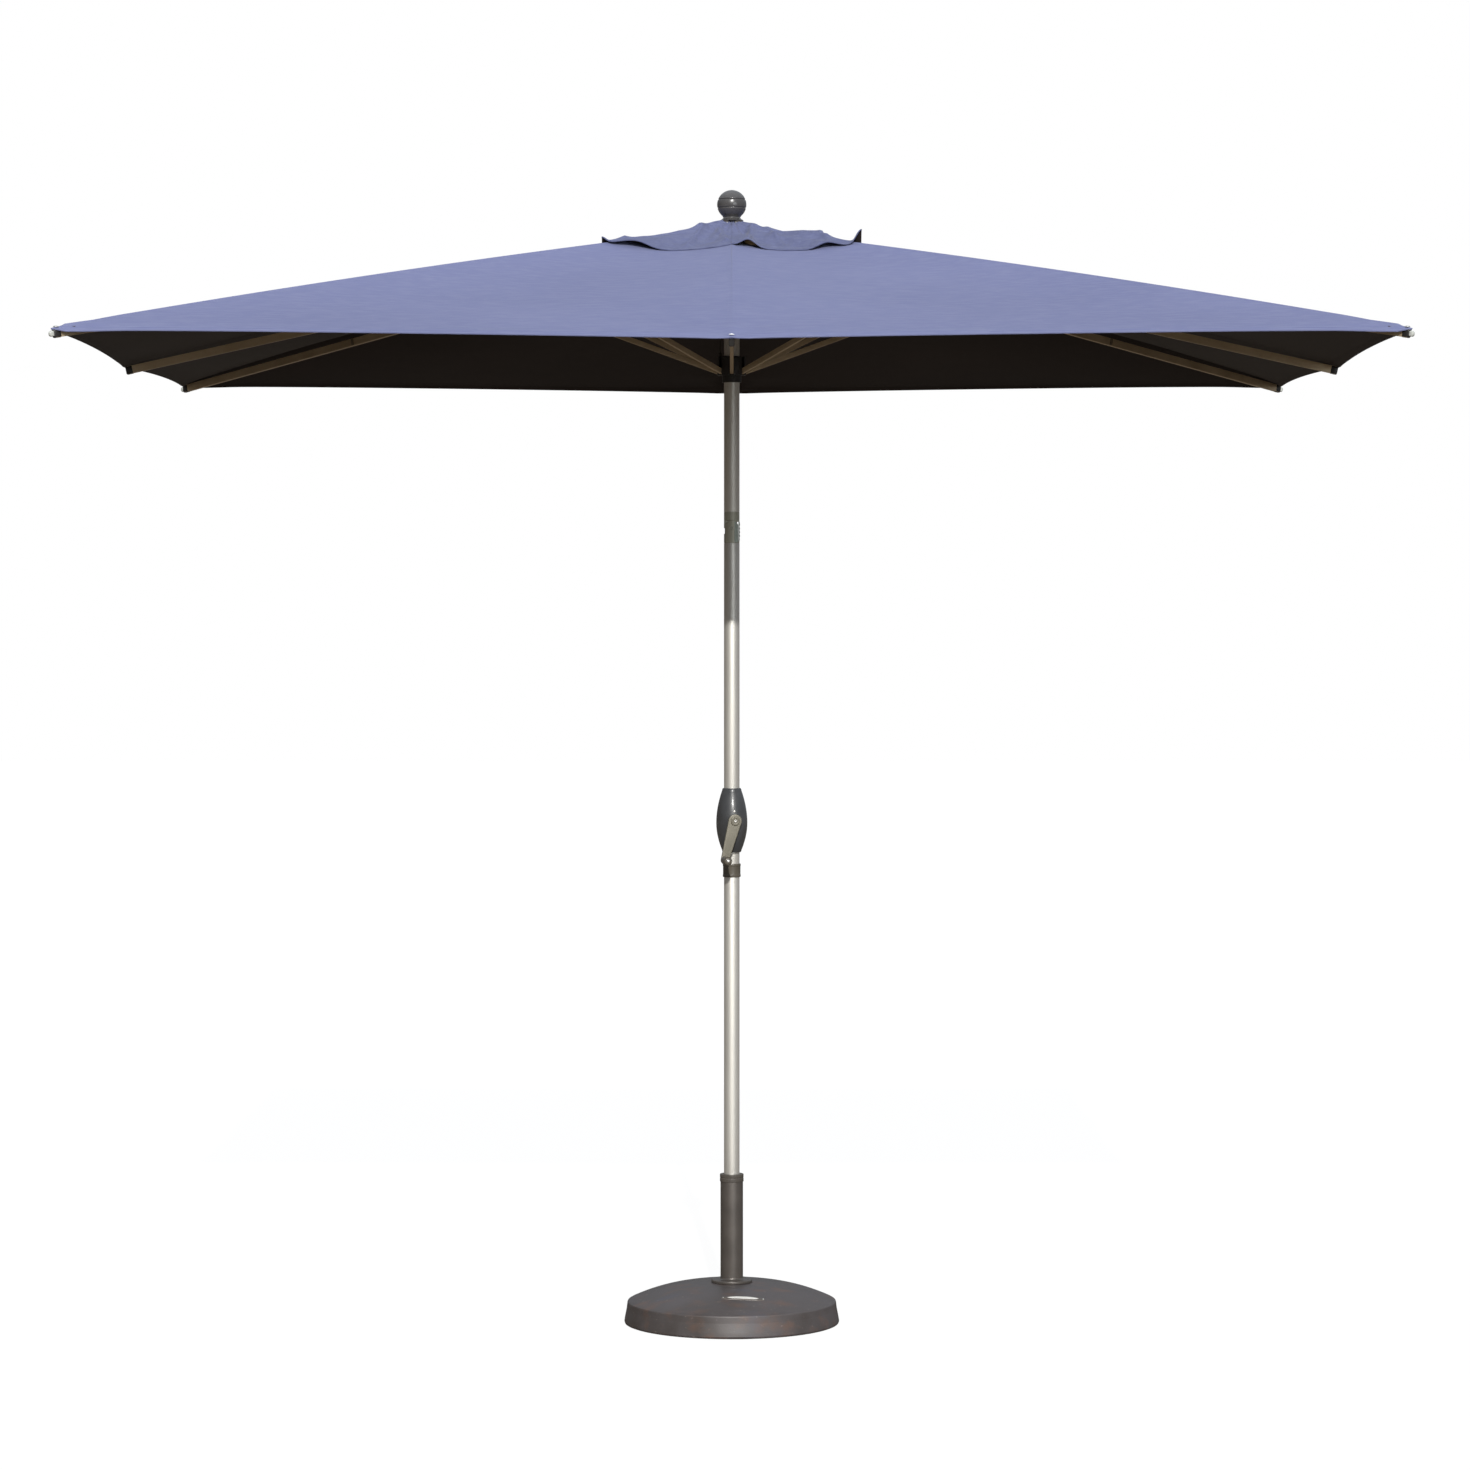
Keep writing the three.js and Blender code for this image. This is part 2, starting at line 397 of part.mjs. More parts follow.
const hubLow = HUB.pivotZ - HUB.halfHeight;
const hubHigh = HUB.pivotZ + HUB.halfHeight;
const hubBody = solid(turned([[0, POLE.topZ + GAP], [POLE.r + GAP, POLE.topZ + GAP],
  [POLE.r + GAP, HUB.sleeveZ],
  [HUB.sleeveR, HUB.sleeveZ], [HUB.sleeveR, hubLow], [HUB.discR, hubLow], [HUB.discR, hubHigh],
  [HUB.bossR, hubHigh], [HUB.bossR - 1, HUB.bossZ], [FINIAL.stemR + GAP, HUB.bossZ],
  [FINIAL.stemR + GAP, FINIAL.stemZ - GAP], [0, FINIAL.stemZ - GAP]], 24));
const ribSlotHalf = RIB.tongue / 2 + RUN_GAP;
const hubSlots = slotted(hubBody, ribSlotHalf, HUB.slotR, hubLow - 1, hubHigh + 1);
const hubPin = (t) => solid(rodY(PIN.hubR, -ribSlotHalf - 1, ribSlotHalf + 1, 14)
  .translate(HUB.pivotR, 0, HUB.pivotZ).rotateZ(t));
piece('top_hub', azimuths.reduce((sum, t) => sum.add(hubPin(t)), hubSlots), BLACK_PLASTIC);

const runnerBody = solid(turned([[RUNNER.boreR, RUNNER.lowZ], [RUNNER.neckR, RUNNER.lowZ],
  [RUNNER.neckR, RUNNER.discLow], [RUNNER.discR, RUNNER.discLow], [RUNNER.discR, RUNNER.discHigh - 2],
  [RUNNER.discR - 2, RUNNER.discHigh], [RUNNER.boreR, RUNNER.discHigh]], 24));
// Each slot takes a strut's full width, and is deeper above the pivot, where a folded strut leans in.
const strutSlotHalf = STRUT.width / 2 + RUN_GAP;
const runnerSlots = slotted(runnerBody, strutSlotHalf, RUNNER.slotR, RUNNER.discLow - 1, RUNNER.discHigh + 1);
piece('runner', slotted(runnerSlots, strutSlotHalf, RUNNER.mouthR, RUNNER.mouthZ, RUNNER.discHigh + 1),
  BLACK_PLASTIC);

// ---- Ribs and struts ----

// Where a rib lies: its slope, its length, and where its strut joins to meet the runner both open and shut.
function ribLayout(reach, tipZ) {
  const slope = Math.atan2(HUB.pivotZ - tipZ + RIB.underCloth, reach - HUB.pivotR);
  const length = (reach - RIB.shortOfTip - HUB.pivotR) / Math.cos(slope);
  const shut = FOLD.closedDeg * RAD;
  const along = (t) => [Math.cos(t), -Math.sin(t)];
  const under = (t) => [-Math.sin(t), -Math.cos(t)];
  const dot = ([a, b], [c, d]) => a * c + b * d;
  const open = [HUB.pivotR - RUNNER.pivotR, HUB.pivotZ - RUNNER.pivotZ];
  const folded = [open[0], open[1] + FOLD.runnerTravel];
  const lift = dot(folded, folded) - dot(open, open)
    + 2 * RIB.lugDrop * (dot(folded, under(shut)) - dot(open, under(slope)));
  const joinAt = lift / (2 * (dot(open, along(slope)) - dot(folded, along(shut))));
  const [ax, az] = along(slope);
  const [ux, uz] = under(slope);
  const join = [HUB.pivotR + joinAt * ax + RIB.lugDrop * ux, HUB.pivotZ + joinAt * az + RIB.lugDrop * uz];
  const toRunner = [RUNNER.pivotR - join[0], RUNNER.pivotZ - join[1]];
  return { slope, length, joinAt, join, strut: Math.hypot(...toRunner),
    strutTurn: Math.atan2(-toRunner[1], toRunner[0]) };
}

function ribSolid({ length, joinAt }) {
  const half = RIB.depth / 2;
  const lug = strap(0, PIN.strutR + RIB.lugWall, RIB.lugDrop, half);
  const strutPin = rodY(PIN.strutR, -STRUT.width / 2 - 1, STRUT.width / 2 + 1, 12);
  return solid(block([RIB.neck, length], [-RIB.width / 2, RIB.width / 2], [-half, half]))
    .add(solid(plate(strap(0, RIB.noseR, RIB.neck + RIB.noseR, RIB.noseR), RIB.tongue / 2)))
    .subtract(solid(rodY(PIN.hubR + GAP, -RIB.width, RIB.width, 14)))
    .add(solid(plate(lug.map(([x, z]) => [joinAt + z, -RIB.lugDrop + x]), RIB.lug / 2)))
    .add(solid(strutPin.translate(joinAt, 0, -RIB.lugDrop)));
}

function strutSolid(length) {
  const half = STRUT.depth / 2;
  const forkSlot = block([-half - 1, STRUT.forkDepth], [-RIB.lug / 2 - GAP, RIB.lug / 2 + GAP],
    [-half - 1, half + 1]);
  return solid(plate(strap(0, half, length, half), STRUT.width / 2))
    .subtract(solid(forkSlot))
    .subtract(solid(rodY(PIN.strutR + GAP, -STRUT.width, STRUT.width, 12)));
}

const reachOf = { corner: Math.hypot(CANOPY.halfX, CANOPY.halfY), side: CANOPY.halfX, end: CANOPY.halfY };
const tipZOf = { corner: CANOPY.cornerZ, side: CANOPY.sideZ, end: CANOPY.endZ };
const kinds = ['side', 'corner', 'end', 'corner', 'side', 'corner', 'end', 'corner'];
const ribNames = ['right', 'rear_right', 'rear', 'rear_left', 'left', 'front_left', 'front', 'front_right'];

azimuths.forEach((azimuth, i) => {
  const layout = ribLayout(reachOf[kinds[i]], tipZOf[kinds[i]]);
  const arm = new THREE.Group();
  arm.rotation.z = azimuth;
  umbrella.add(arm);
  const rib = piece(`rib_${ribNames[i]}`, ribSolid(layout), RIB_METAL, arm);
  rib.position.set(HUB.pivotR, 0, HUB.pivotZ);
  rib.rotation.y = layout.slope;
  const strut = piece(`strut_${ribNames[i]}`, strutSolid(layout.strut), RIB_METAL, arm);
  strut.position.set(layout.join[0], 0, layout.join[1]);
  strut.rotation.y = layout.strutTurn;
});

// ---- Canopy: a half gore at each side of every rib, up to the line that halves the gore's angle ----
const apex = new THREE.Vector3(0, 0, CANOPY.apexZ);
const tips = azimuths.map((t, i) => new THREE.Vector3(reachOf[kinds[i]] * Math.cos(t),
  reachOf[kinds[i]] * Math.sin(t), tipZOf[kinds[i]]));

function halfGore(tip, next) {
  const u = tip.clone().sub(apex).normalize();
  const toNext = next.clone().sub(apex);
  const v = toNext.clone().addScaledVector(u, -toNext.dot(u)).normalize();
  const n = u.clone().cross(v);
  const ownLength = tip.distanceTo(apex);
  const hem = tip.clone().lerp(next, ownLength / (ownLength + next.distanceTo(apex))).sub(apex);
  const flat = (p) => new THREE.Vector2(p.dot(u), p.dot(v));
  const rib = flat(tip.clone().sub(apex));
  const middle = flat(hem);
  const edge = CANOPY.seam;
  const lean = middle.clone().normalize();
  const inset = new THREE.Vector2(lean.y, -lean.x).multiplyScalar(edge);
  const outline = [[rib, CANOPY.openShare, [0, edge]], [rib, 1, [0, edge]], [middle, 1, inset.toArray()],
    [middle, CANOPY.openShare, inset.toArray()]];
  const shape = new THREE.Shape(outline.map(([p, share, [dx, dy]]) =>
    new THREE.Vector2(p.x * share + dx, p.y * share + dy)));
  const cloth = new THREE.ExtrudeGeometry(shape, { depth: CANOPY.cloth, bevelEnabled: false });
  if (n.z < 0) cloth.translate(0, 0, -CANOPY.cloth);
  return { cloth, turn: new THREE.Matrix4().makeBasis(u, v, n) };
}

tips.forEach((tip, i) => {
  [[1, 'a'], [-1, 'b']].forEach(([step, letter]) => {
    const { cloth, turn } = halfGore(tip, tips[(i + step + 8) % 8]);
    const leaf = piece(`canopy_${ribNames[i]}_${letter}`, cloth, CLOTH);
    leaf.position.copy(apex);
    leaf.quaternion.setFromRotationMatrix(turn);
  });
});

// ---- Vent cap ----
function pyramid(lower) {
  return solid(new THREE.ConeGeometry(Math.SQRT2, VENT.apexZ - VENT.hemZ, 4).rotateY(Math.PI / 4)
    .rotateX(Math.PI / 2).scale(VENT.halfX, VENT.halfY, 1)
    .translate(0, 0, (VENT.apexZ + VENT.hemZ) / 2 - lower));
}
piece('vent_canopy', pyramid(0).subtract(pyramid(VENT.cloth)).subtract(solid(rod(VENT.holeR, VENT.hemZ - 50,
  VENT.apexZ + 10, 24))), CLOTH);

// ---- Finial ----
const groove = (z) => [[-1, 0], [0, FINIAL.groove], [1, 0]].map(([step, cut]) => {
  const height = z + 1.4 * step - FINIAL.ballZ;
  return [Math.sqrt(FINIAL.ballR ** 2 - height ** 2) - cut, FINIAL.ballZ + height];
});
const ballPoint = (deg) => [FINIAL.ballR * Math.cos(deg * RAD),
  FINIAL.ballZ + FINIAL.ballR * Math.sin(deg * RAD)];
const finialTop = FINIAL.flangeZ + FINIAL.flangeThick;
piece('finial', turned([[0, FINIAL.stemZ], [FINIAL.stemR, FINIAL.stemZ], [FINIAL.stemR, FINIAL.flangeZ],
  [FINIAL.flangeR, FINIAL.flangeZ], [FINIAL.flangeR, finialTop - 2], [FINIAL.flangeR - 4, finialTop],
  [FINIAL.neckR, finialTop + 2], ballPoint(-48), ballPoint(-32), ...groove(FINIAL.grooveZ[0]), ballPoint(0),
  ...groove(FINIAL.grooveZ[1]), ballPoint(36), ballPoint(54), ballPoint(72),
  [0, FINIAL.ballZ + FINIAL.ballR]], 24),
BLACK_PLASTIC);

// ---- Lift cord: spool, up the pole, over the pulley, down to the runner ----
const pulleyOutline = [[0, -PULLEY.axleHalf], [PULLEY.axleR, -PULLEY.axleHalf], [PULLEY.axleR, -PULLEY.half],
  [PULLEY.r, -PULLEY.half], [PULLEY.grooveR, -PULLEY.grooveHalf], [PULLEY.grooveR, PULLEY.grooveHalf],
  [PULLEY.r, PULLEY.half], [PULLEY.axleR, PULLEY.half], [PULLEY.axleR, PULLEY.axleHalf],
  [0, PULLEY.axleHalf]];
const pulley = piece('pulley', turned(pulleyOutline, 24).rotateX(Math.PI / 2), BLACK_PLASTIC);
pulley.position.set(PULLEY.x, 0, PULLEY.z);

const spoolSide = -(CRANK.drumR + CORD.r + GAP);
piece('lift_cord_inner', cord([[spoolSide, 0, CRANK.axisZ], [spoolSide, 0, CRANK.axisZ + CORD.lead],
  [(spoolSide + TILT.cordX) / 2, 0, (CRANK.axisZ + TILT.pivotZ) / 2], [TILT.cordX, 0, TILT.lowZ - CORD.lead],
  [TILT.cordX, 0, slotFloor - GAP]]), ROPE);

const wrapR = PULLEY.r + CORD.r + PULLEY.lift;
const overPulley = Array.from({ length: 7 }, (_, i) => {
  const t = (Math.PI * i) / 6;
  return [PULLEY.x + wrapR * Math.cos(t), 0, PULLEY.z + wrapR * Math.sin(t)];
});
const headCordEndZ = PULLEY.z - PULLEY.r;
piece('lift_cord_head', cord([[TILT.cordX, 0, TILT.highZ + 1], [TILT.cordX, 0, TILT.highZ + CORD.tiltLead],
  ...overPulley, [PULLEY.x - wrapR, 0, headCordEndZ]], CORD.r, 46), ROPE);

const eyeTurn = CORD.eyeAzimuthDeg * RAD;
piece('lift_cord_drop', cord([[PULLEY.x - wrapR, 0, headCordEndZ - GAP],
  [PULLEY.x - wrapR, 0, headCordEndZ - CORD.lead],
  [CORD.eyeR * Math.cos(eyeTurn), CORD.eyeR * Math.sin(eyeTurn), RUNNER.discHigh + CORD.lead],
  [CORD.eyeR * Math.cos(eyeTurn), CORD.eyeR * Math.sin(eyeTurn), RUNNER.discHigh + GAP]]), ROPE);

export default umbrella;
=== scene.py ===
"""Looks of a rectangular market umbrella: sewn canopy and vent cap, ribs and struts, pole, tilt joint, crank, base.

Every new surface is a grid of points worked out with numpy: a profile turned round an axis, a section carried
along a path, or cloth as a function of two parameters. Metres, +Z up, the crank on the -Y side.
"""
import json
import math

import bmesh
import bpy
import numpy as np
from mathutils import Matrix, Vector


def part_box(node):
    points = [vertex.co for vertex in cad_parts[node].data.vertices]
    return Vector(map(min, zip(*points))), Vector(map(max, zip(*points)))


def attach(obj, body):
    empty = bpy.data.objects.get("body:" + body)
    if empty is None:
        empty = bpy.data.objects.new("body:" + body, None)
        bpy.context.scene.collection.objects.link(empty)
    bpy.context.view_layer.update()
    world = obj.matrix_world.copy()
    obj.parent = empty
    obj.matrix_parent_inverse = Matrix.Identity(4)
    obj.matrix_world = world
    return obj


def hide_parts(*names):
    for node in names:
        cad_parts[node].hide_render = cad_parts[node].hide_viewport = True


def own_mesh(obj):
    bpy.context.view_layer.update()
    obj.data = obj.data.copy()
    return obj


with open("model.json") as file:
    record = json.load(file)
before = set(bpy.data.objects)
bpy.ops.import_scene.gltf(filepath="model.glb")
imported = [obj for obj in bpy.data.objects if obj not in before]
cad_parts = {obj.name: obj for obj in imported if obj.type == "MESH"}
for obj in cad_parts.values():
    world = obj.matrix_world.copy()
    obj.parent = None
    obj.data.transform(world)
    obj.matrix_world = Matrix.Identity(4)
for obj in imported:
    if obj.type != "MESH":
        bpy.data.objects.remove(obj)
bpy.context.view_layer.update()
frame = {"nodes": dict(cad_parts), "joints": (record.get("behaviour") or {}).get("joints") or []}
MM = 0.001
JOINTS = {joint["name"]: joint for joint in frame["joints"]}
FOLD = "canopy_fold"

# -------------------- camera and light
CAMERA_DISTANCE, CAMERA_HEIGHT, FOCAL_MM = 9.95, 1.5785, 108.1


def placed(name, data):
    """A new object in the scene that shows the data."""
    obj = bpy.data.objects.new(name, data)
    bpy.context.scene.collection.objects.link(obj)
    return obj


camera = placed("camera", bpy.data.cameras.new("camera"))
camera.location = (0.003, -CAMERA_DISTANCE, CAMERA_HEIGHT)
camera.rotation_euler = (math.pi / 2, 0, 0)
camera.data.lens, camera.data.sensor_width = FOCAL_MM, 36
camera.data.shift_x, camera.data.shift_y = 0.0013, -0.0769
bpy.context.scene.camera = camera
bpy.context.scene.view_settings.view_transform = "Standard"


def lamp(name, kind, strength, turn, colour=(1, 1, 1), place=(0, 0, 4), **facts):
    """A light of one kind, turned by Euler angles in degrees."""
    data = bpy.data.lights.new(name, kind)
    data.energy, data.color = strength, colour
    for fact, value in facts.items():
        setattr(data, fact, value)
    light = placed(name, data)
    light.location, light.rotation_euler = place, [math.radians(a) for a in turn]


lamp("sun", "SUN", 3.5, (61.4, 0, 3), (1, 0.985, 0.95), angle=math.radians(0.8))
lamp("fill", "SUN", 0.45, (86, 0, 23), (0.92, 0.97, 1), angle=math.radians(25))
lamp("sky", "SUN", 0.35, (8, 0, 0), (0.96, 0.98, 1), angle=math.radians(70))


# -------------------- material helpers
def linear(colour):
    """An sRGB hex colour as linear RGBA."""
    channels = np.array([int(colour[i:i + 2], 16) / 255 for i in (1, 3, 5)])
    values = np.where(channels <= 0.04045, channels / 12.92, ((channels + 0.055) / 1.055) ** 2.4)
    return (*values.tolist(), 1.0)


def add(tree, kind, inputs=None, **settings):
    """Adds one node; an input is a value, or another node's output to link from."""
    made = tree.nodes.new(kind)
    for name, value in settings.items():
        setattr(made, name, value)
    for name, value in (inputs or {}).items():
        if isinstance(value, bpy.types.NodeSocket):
            tree.links.new(value, made.inputs[name])
        else:
            made.inputs[name].default_value = value
    return made


def finish_of(name, inputs):
    """A new material with one Principled shader; returns the material, its tree and its shader."""
    made = bpy.data.materials.new(name)
    made.use_nodes = True
    shader = made.node_tree.nodes["Principled BSDF"]
    for socket, value in inputs.items():
        shader.inputs[socket].default_value = value
    return made, made.node_tree, shader


def speckle(tree, size_mm, detail=4.0, stretch=(1, 1, 1), source="Object"):
    """Noise whose grains are size_mm across, read from Object coordinates or the UV map."""
    place = add(tree, "ShaderNodeTexCoord").outputs[source]
    scale = [1000 / size_mm * s for s in stretch]
    mapped = add(tree, "ShaderNodeMapping", {"Vector": place, "Scale": scale}).outputs["Vector"]
    return add(tree, "ShaderNodeTexNoise", {"Vector": mapped, "Scale": 1.0, "Detail": detail}).outputs["Fac"]


def between(tree, fac, low, high):
    """A colour that goes from one hex colour to another with fac."""
    ramp = add(tree, "ShaderNodeValToRGB", {"Fac": fac})
    for end, colour, place in zip(ramp.color_ramp.elements, (low, high), (0.3, 0.7)):
        end.color, end.position = linear(colour), place
    return ramp.outputs["Color"]


def mixed(tree, share, low, high):
    """A colour share of the way from low to high; each is a colour or another node's output."""
    return add(tree, "ShaderNodeMix", {0: share, 6: low, 7: high}, data_type="RGBA").outputs[2]


def paint(tree, shader, colour, rough=None):
    """Joins a colour to the shader, and a roughness where there is one."""
    tree.links.new(colour, shader.inputs["Base Color"])
    if rough is not None:
        tree.links.new(rough, shader.inputs["Roughness"])


def ranged(tree, fac, low, high):
    """A number that goes from low to high as fac goes from 0.3 to 0.7."""
    return add(tree, "ShaderNodeMapRange", {"Value": fac, "From Min": 0.3, "From Max": 0.7, "To Min": low,
                                            "To Max": high}).outputs["Result"]


def bump(tree, shader, height, depth_mm, strength=1.0):
    """Joins a bump of depth_mm to the shader."""
    made = add(tree, "ShaderNodeBump", {"Height": height, "Distance": depth_mm * MM, "Strength": strength})
    tree.links.new(made.outputs["Normal"], shader.inputs["Normal"])


def woven_polyester(name, thread, shade, dust, crease=0.0):
    """Plain-weave polyester, dyed in the yarn: matt with a faint sheen, slubs along the weft and uneven dye.
    Real threads are 0.4 mm apart; they are drawn 3 mm apart so that the weave shows. Crumpled cloth has a crease
    height, as a multiple of the weave's depth."""
    made, tree, shader = finish_of(name, {"Roughness": 0.92, "Sheen Weight": 0.1, "Sheen Roughness": 0.4,
                                          "IOR": 1.45, "Specular IOR Level": 0.2})
    uv = add(tree, "ShaderNodeTexCoord").outputs["UV"]
    waves = []
    for direction in "XY":
        waves.append(add(tree, "ShaderNodeTexWave", {"Vector": uv, "Scale": 105.0, "Distortion": 0.4,
                                                     "Detail": 1.0, "Detail Scale": 2.0},
                         bands_direction=direction).outputs["Fac"])
    weave = add(tree, "ShaderNodeMath", {0: waves[0], 1: waves[1]}, operation="MULTIPLY").outputs[0]
    slub = speckle(tree, 7, 5, (0.16, 0.6, 1.6))
    base = between(tree, speckle(tree, 300, 4, (0.5, 1, 1)), shade, thread)
    share = add(tree, "ShaderNodeMapRange", {"Value": slub, "From Min": 0.42, "From Max": 0.66,
                                             "To Max": 0.28}).outputs["Result"]
    paint(tree, shader, mixed(tree, share, base, linear(dust)))
    crumple = speckle(tree, 46, 2, (1, 0.6, 1))
    height = add(tree, "ShaderNodeMath", {0: crumple, 1: crease, 2: weave}, operation="MULTIPLY_ADD").outputs[0]
    bump(tree, shader, height, 0.35, 0.5)
    return made


def drawn_aluminium(name, colour, rough=0.3, stretch=(1, 1, 0.02), metallic=1.0):
    """Anodised drawn tube: a soft grey mirror with fine lines along the draw."""
    made, tree, shader = finish_of(name, {"Metallic": metallic, "Roughness": rough})
    lines = speckle(tree, 1.2, 3, stretch)
    smears = speckle(tree, 90, 4, (1, 1, 0.4))
    paint(tree, shader, between(tree, lines, colour, "#dedad2"), ranged(tree, smears, rough - 0.04, rough + 0.07))
    bump(tree, shader, lines, 0.02, 0.3)
    return made


def coated_metal(name, colour, worn, rough=0.45, metallic=0.55):
    """Bronze powder coat or tinted anodising: satin, a little orange-peel, paler where it is handled."""
    made, tree, shader = finish_of(name, {"Metallic": metallic, "Roughness": rough, "Coat Weight": 0.15,
                                          "Coat Roughness": 0.3})
    wear = speckle(tree, 60, 5)
    peel = speckle(tree, 1.5, 2)
    paint(tree, shader, between(tree, wear, colour, worn), ranged(tree, wear, rough - 0.06, rough + 0.08))
    bump(tree, shader, peel, 0.05, 0.25)
    return made


def moulded(name, colour, worn, rough=0.42, coat=0.0):
    """Injection-moulded nylon or ABS: an even colour with a fine spark-eroded grain and dull rubbed patches."""
    made, tree, shader = finish_of(name, {"Roughness": rough, "IOR": 1.5, "Coat Weight": coat, "Coat Roughness": 0.15})
    patch = speckle(tree, 40, 4)
    grain = speckle(tree, 0.9, 2)
    paint(tree, shader, between(tree, patch, colour, worn), ranged(tree, patch, rough - 0.05, rough + 0.1))
    bump(tree, shader, grain, 0.06, 0.3)
    return made


def patinated_cast(name):
    """Cast resin with a bronze finish: dark brown-grey, clouded with rust and a bluish bloom, scuffed and pitted."""
    made, tree, shader = finish_of(name, {"Roughness": 0.5, "Metallic": 0.15, "Coat Weight": 0.1,
                                          "Coat Roughness": 0.35})
    cloud, pits = speckle(tree, 90, 6), speckle(tree, 3, 3)
    colour = between(tree, cloud, "#453f3c", "#575253")
    for size, low, high, tint in ((40, 0.52, 0.68, "#6a5144"), (60, 0.6, 0.75, "#4b4f5b"), (7, 0.66, 0.72, "#8b8078")):
        patch = add(tree, "ShaderNodeMapRange", {"Value": speckle(tree, size, 6, (0.6, 1, 1)), "From Min": low,
                                                 "From Max": high, "To Max": 0.5}).outputs["Result"]
        colour = mixed(tree, patch, colour, linear(tint))
    paint(tree, shader, colour, ranged(tree, cloud, 0.38, 0.6))
    bump(tree, shader, pits, 0.4, 0.35)
    return made


def braided(name, colour, worn):
    """Braided polyester cord: short slanting plaits, matt."""
    made, tree, shader = finish_of(name, {"Roughness": 0.9})
    plait = speckle(tree, 2.5, 2, (1, 1, 0.5))
    paint(tree, shader, between(tree, plait, colour, worn))
    bump(tree, shader, plait, 0.3, 0.6)
    return made


CLOTH = woven_polyester("woven_polyester_slate_blue", "#6d7295", "#676c8f", "#80849f")
# The vent cap's cloth: a darker copy of the canopy cloth, painted shade for its folds; its crease height of 120 is a
# real bump.
CRUMPLED_CLOTH_PAINTED_SHADE = woven_polyester("crumpled_polyester_slate_blue_painted_shade", "#636889", "#585d7d", "#757a94", 120)
# The cloth's underside: the same fabric in a dark warm brown, painted shade for the side under the canopy.
CLOTH_UNDERSIDE_PAINTED_SHADE = woven_polyester("woven_polyester_underside_painted_shade", "#2b2320", "#241d1b", "#352b27")
THREAD = moulded("polyester_stitching", "#d5d7dd", "#e2e3e6", 0.8)
POLE_METAL = drawn_aluminium("anodised_drawn_aluminium", "#d9d7d1", 0.5, metallic=0.75)
RIB_METAL = coated_metal("bronze_anodised_rib", "#bba788", "#c9b698")
STEEL = drawn_aluminium("zinc_plated_steel", "#9c9b97", 0.36, (1, 1, 1))
RIVET_METAL = drawn_aluminium("bright_rivet", "#d8d6d0", 0.25, (1, 1, 1))
GREY_NYLON = moulded("pale_nylon", "#a9aba6", "#bcbeb8", 0.4)
NYLON = moulded("black_nylon", "#1e1c1b", "#2a2826", 0.45)
CAP_ABS = moulded("dark_moulded_cap", "#46413c", "#524c46", 0.45)
HOUSING_ABS = moulded("grey_abs_housing", "#38393b", "#434446", 0.38, 0.3)
COLLAR_ABS = moulded("dark_abs_collar", "#4a453b", "#5b554a", 0.38, 0.2)
CRANK_CAST = coated_metal("painted_die_cast_crank", "#716d60", "#817c6f", 0.5, 0.3)
TILT_CAST = coated_metal("painted_die_cast_joint", "#aaa998", "#b7b6a6", 0.45, 0.2)
BUTTON_ABS = moulded("grey_green_button", "#a9b5ac", "#b5c0b8", 0.5)
BASE_CAST = patinated_cast("patinated_cast_resin")
TUBE_PAINT = coated_metal("painted_steel_tube", "#4d4844", "#5a544f", 0.4, 0.35)
BALL_PAINT = moulded("gloss_painted_ball", "#3c3a3a", "#484645", 0.25, 0.5)
CORD_BRAID = braided("braided_cord", "#3a362f", "#57524a")
# The plate's middle: near-white and barely metallic, bare aluminium with its highlight painted on.
PLATE_PAINTED_HIGHLIGHT = drawn_aluminium("blank_plate_aluminium_painted_highlight", "#f1f0ec", 0.4, (0.03, 1, 1), metallic=0.2)
PLATE_EDGE = coated_metal("dull_plate_edge", "#5a534e", "#6b645e", 0.5, 0.3)
TIE_CLOTH = moulded("brown_rib_tie", "#6a5f4e", "#776b59", 0.85)
PIN_STEEL = coated_metal("blackened_steel_pin", "#9f9e90", "#a9a89a", 0.5, 0.2)


# -------------------- mesh helpers
def mesh_piece(name, points, faces, body, finishes, replaces=(), face_finish=None, uv=None, sharp=35):
    """Puts points and faces into a mesh, merges doubled points, turns the faces out, and rides it on a body."""
    mesh = bpy.data.meshes.new(name)
    mesh.from_pydata(np.asarray(points).reshape(-1, 3).tolist(), [], [list(f) for f in faces])
    if uv is not None:
        layer = mesh.uv_layers.new(name="cloth")
        corners = np.empty(len(mesh.loops), dtype=np.int64)
        mesh.loops.foreach_get("vertex_index", corners)
        layer.data.foreach_set("uv", np.asarray(uv).reshape(-1, 2)[corners].astype(np.float32).ravel())
    for finish in finishes:
        mesh.materials.append(finish)
    if face_finish is not None:
        mesh.polygons.foreach_set("material_index", np.asarray(face_finish, dtype=np.int32))
    obj = placed(name, mesh)
    work = bmesh.new()
    work.from_mesh(mesh)
    bmesh.ops.remove_doubles(work, verts=work.verts, dist=1e-6)
    bmesh.ops.recalc_face_normals(work, faces=work.faces)
    work.to_mesh(mesh)
    work.free()
    mesh.polygons.foreach_set("use_smooth", np.ones(len(mesh.polygons), dtype=bool))
    mesh.set_sharp_from_angle(angle=math.radians(sharp))
    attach(obj, body)
    if replaces:
        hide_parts(*replaces)
    return obj


def grid_faces(rows, columns, close_rows=False, close_columns=False):
    """Quads between the points of a rows by columns grid, closed round either way if asked."""
    i = np.arange(rows if close_rows else rows - 1)[:, None]
    j = np.arange(columns if close_columns else columns - 1)[None, :]
    up, over = (i + 1) % rows, (j + 1) % columns
    quads = np.stack([i * columns + j + 0 * up, i * columns + over, up * columns + over, up * columns + j], axis=-1)
    return quads.reshape(-1, 4)


def span(node, axis=2):
    """The lowest and highest coordinate of a node's box along one axis."""
    low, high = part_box(node)
    return low[axis], high[axis]


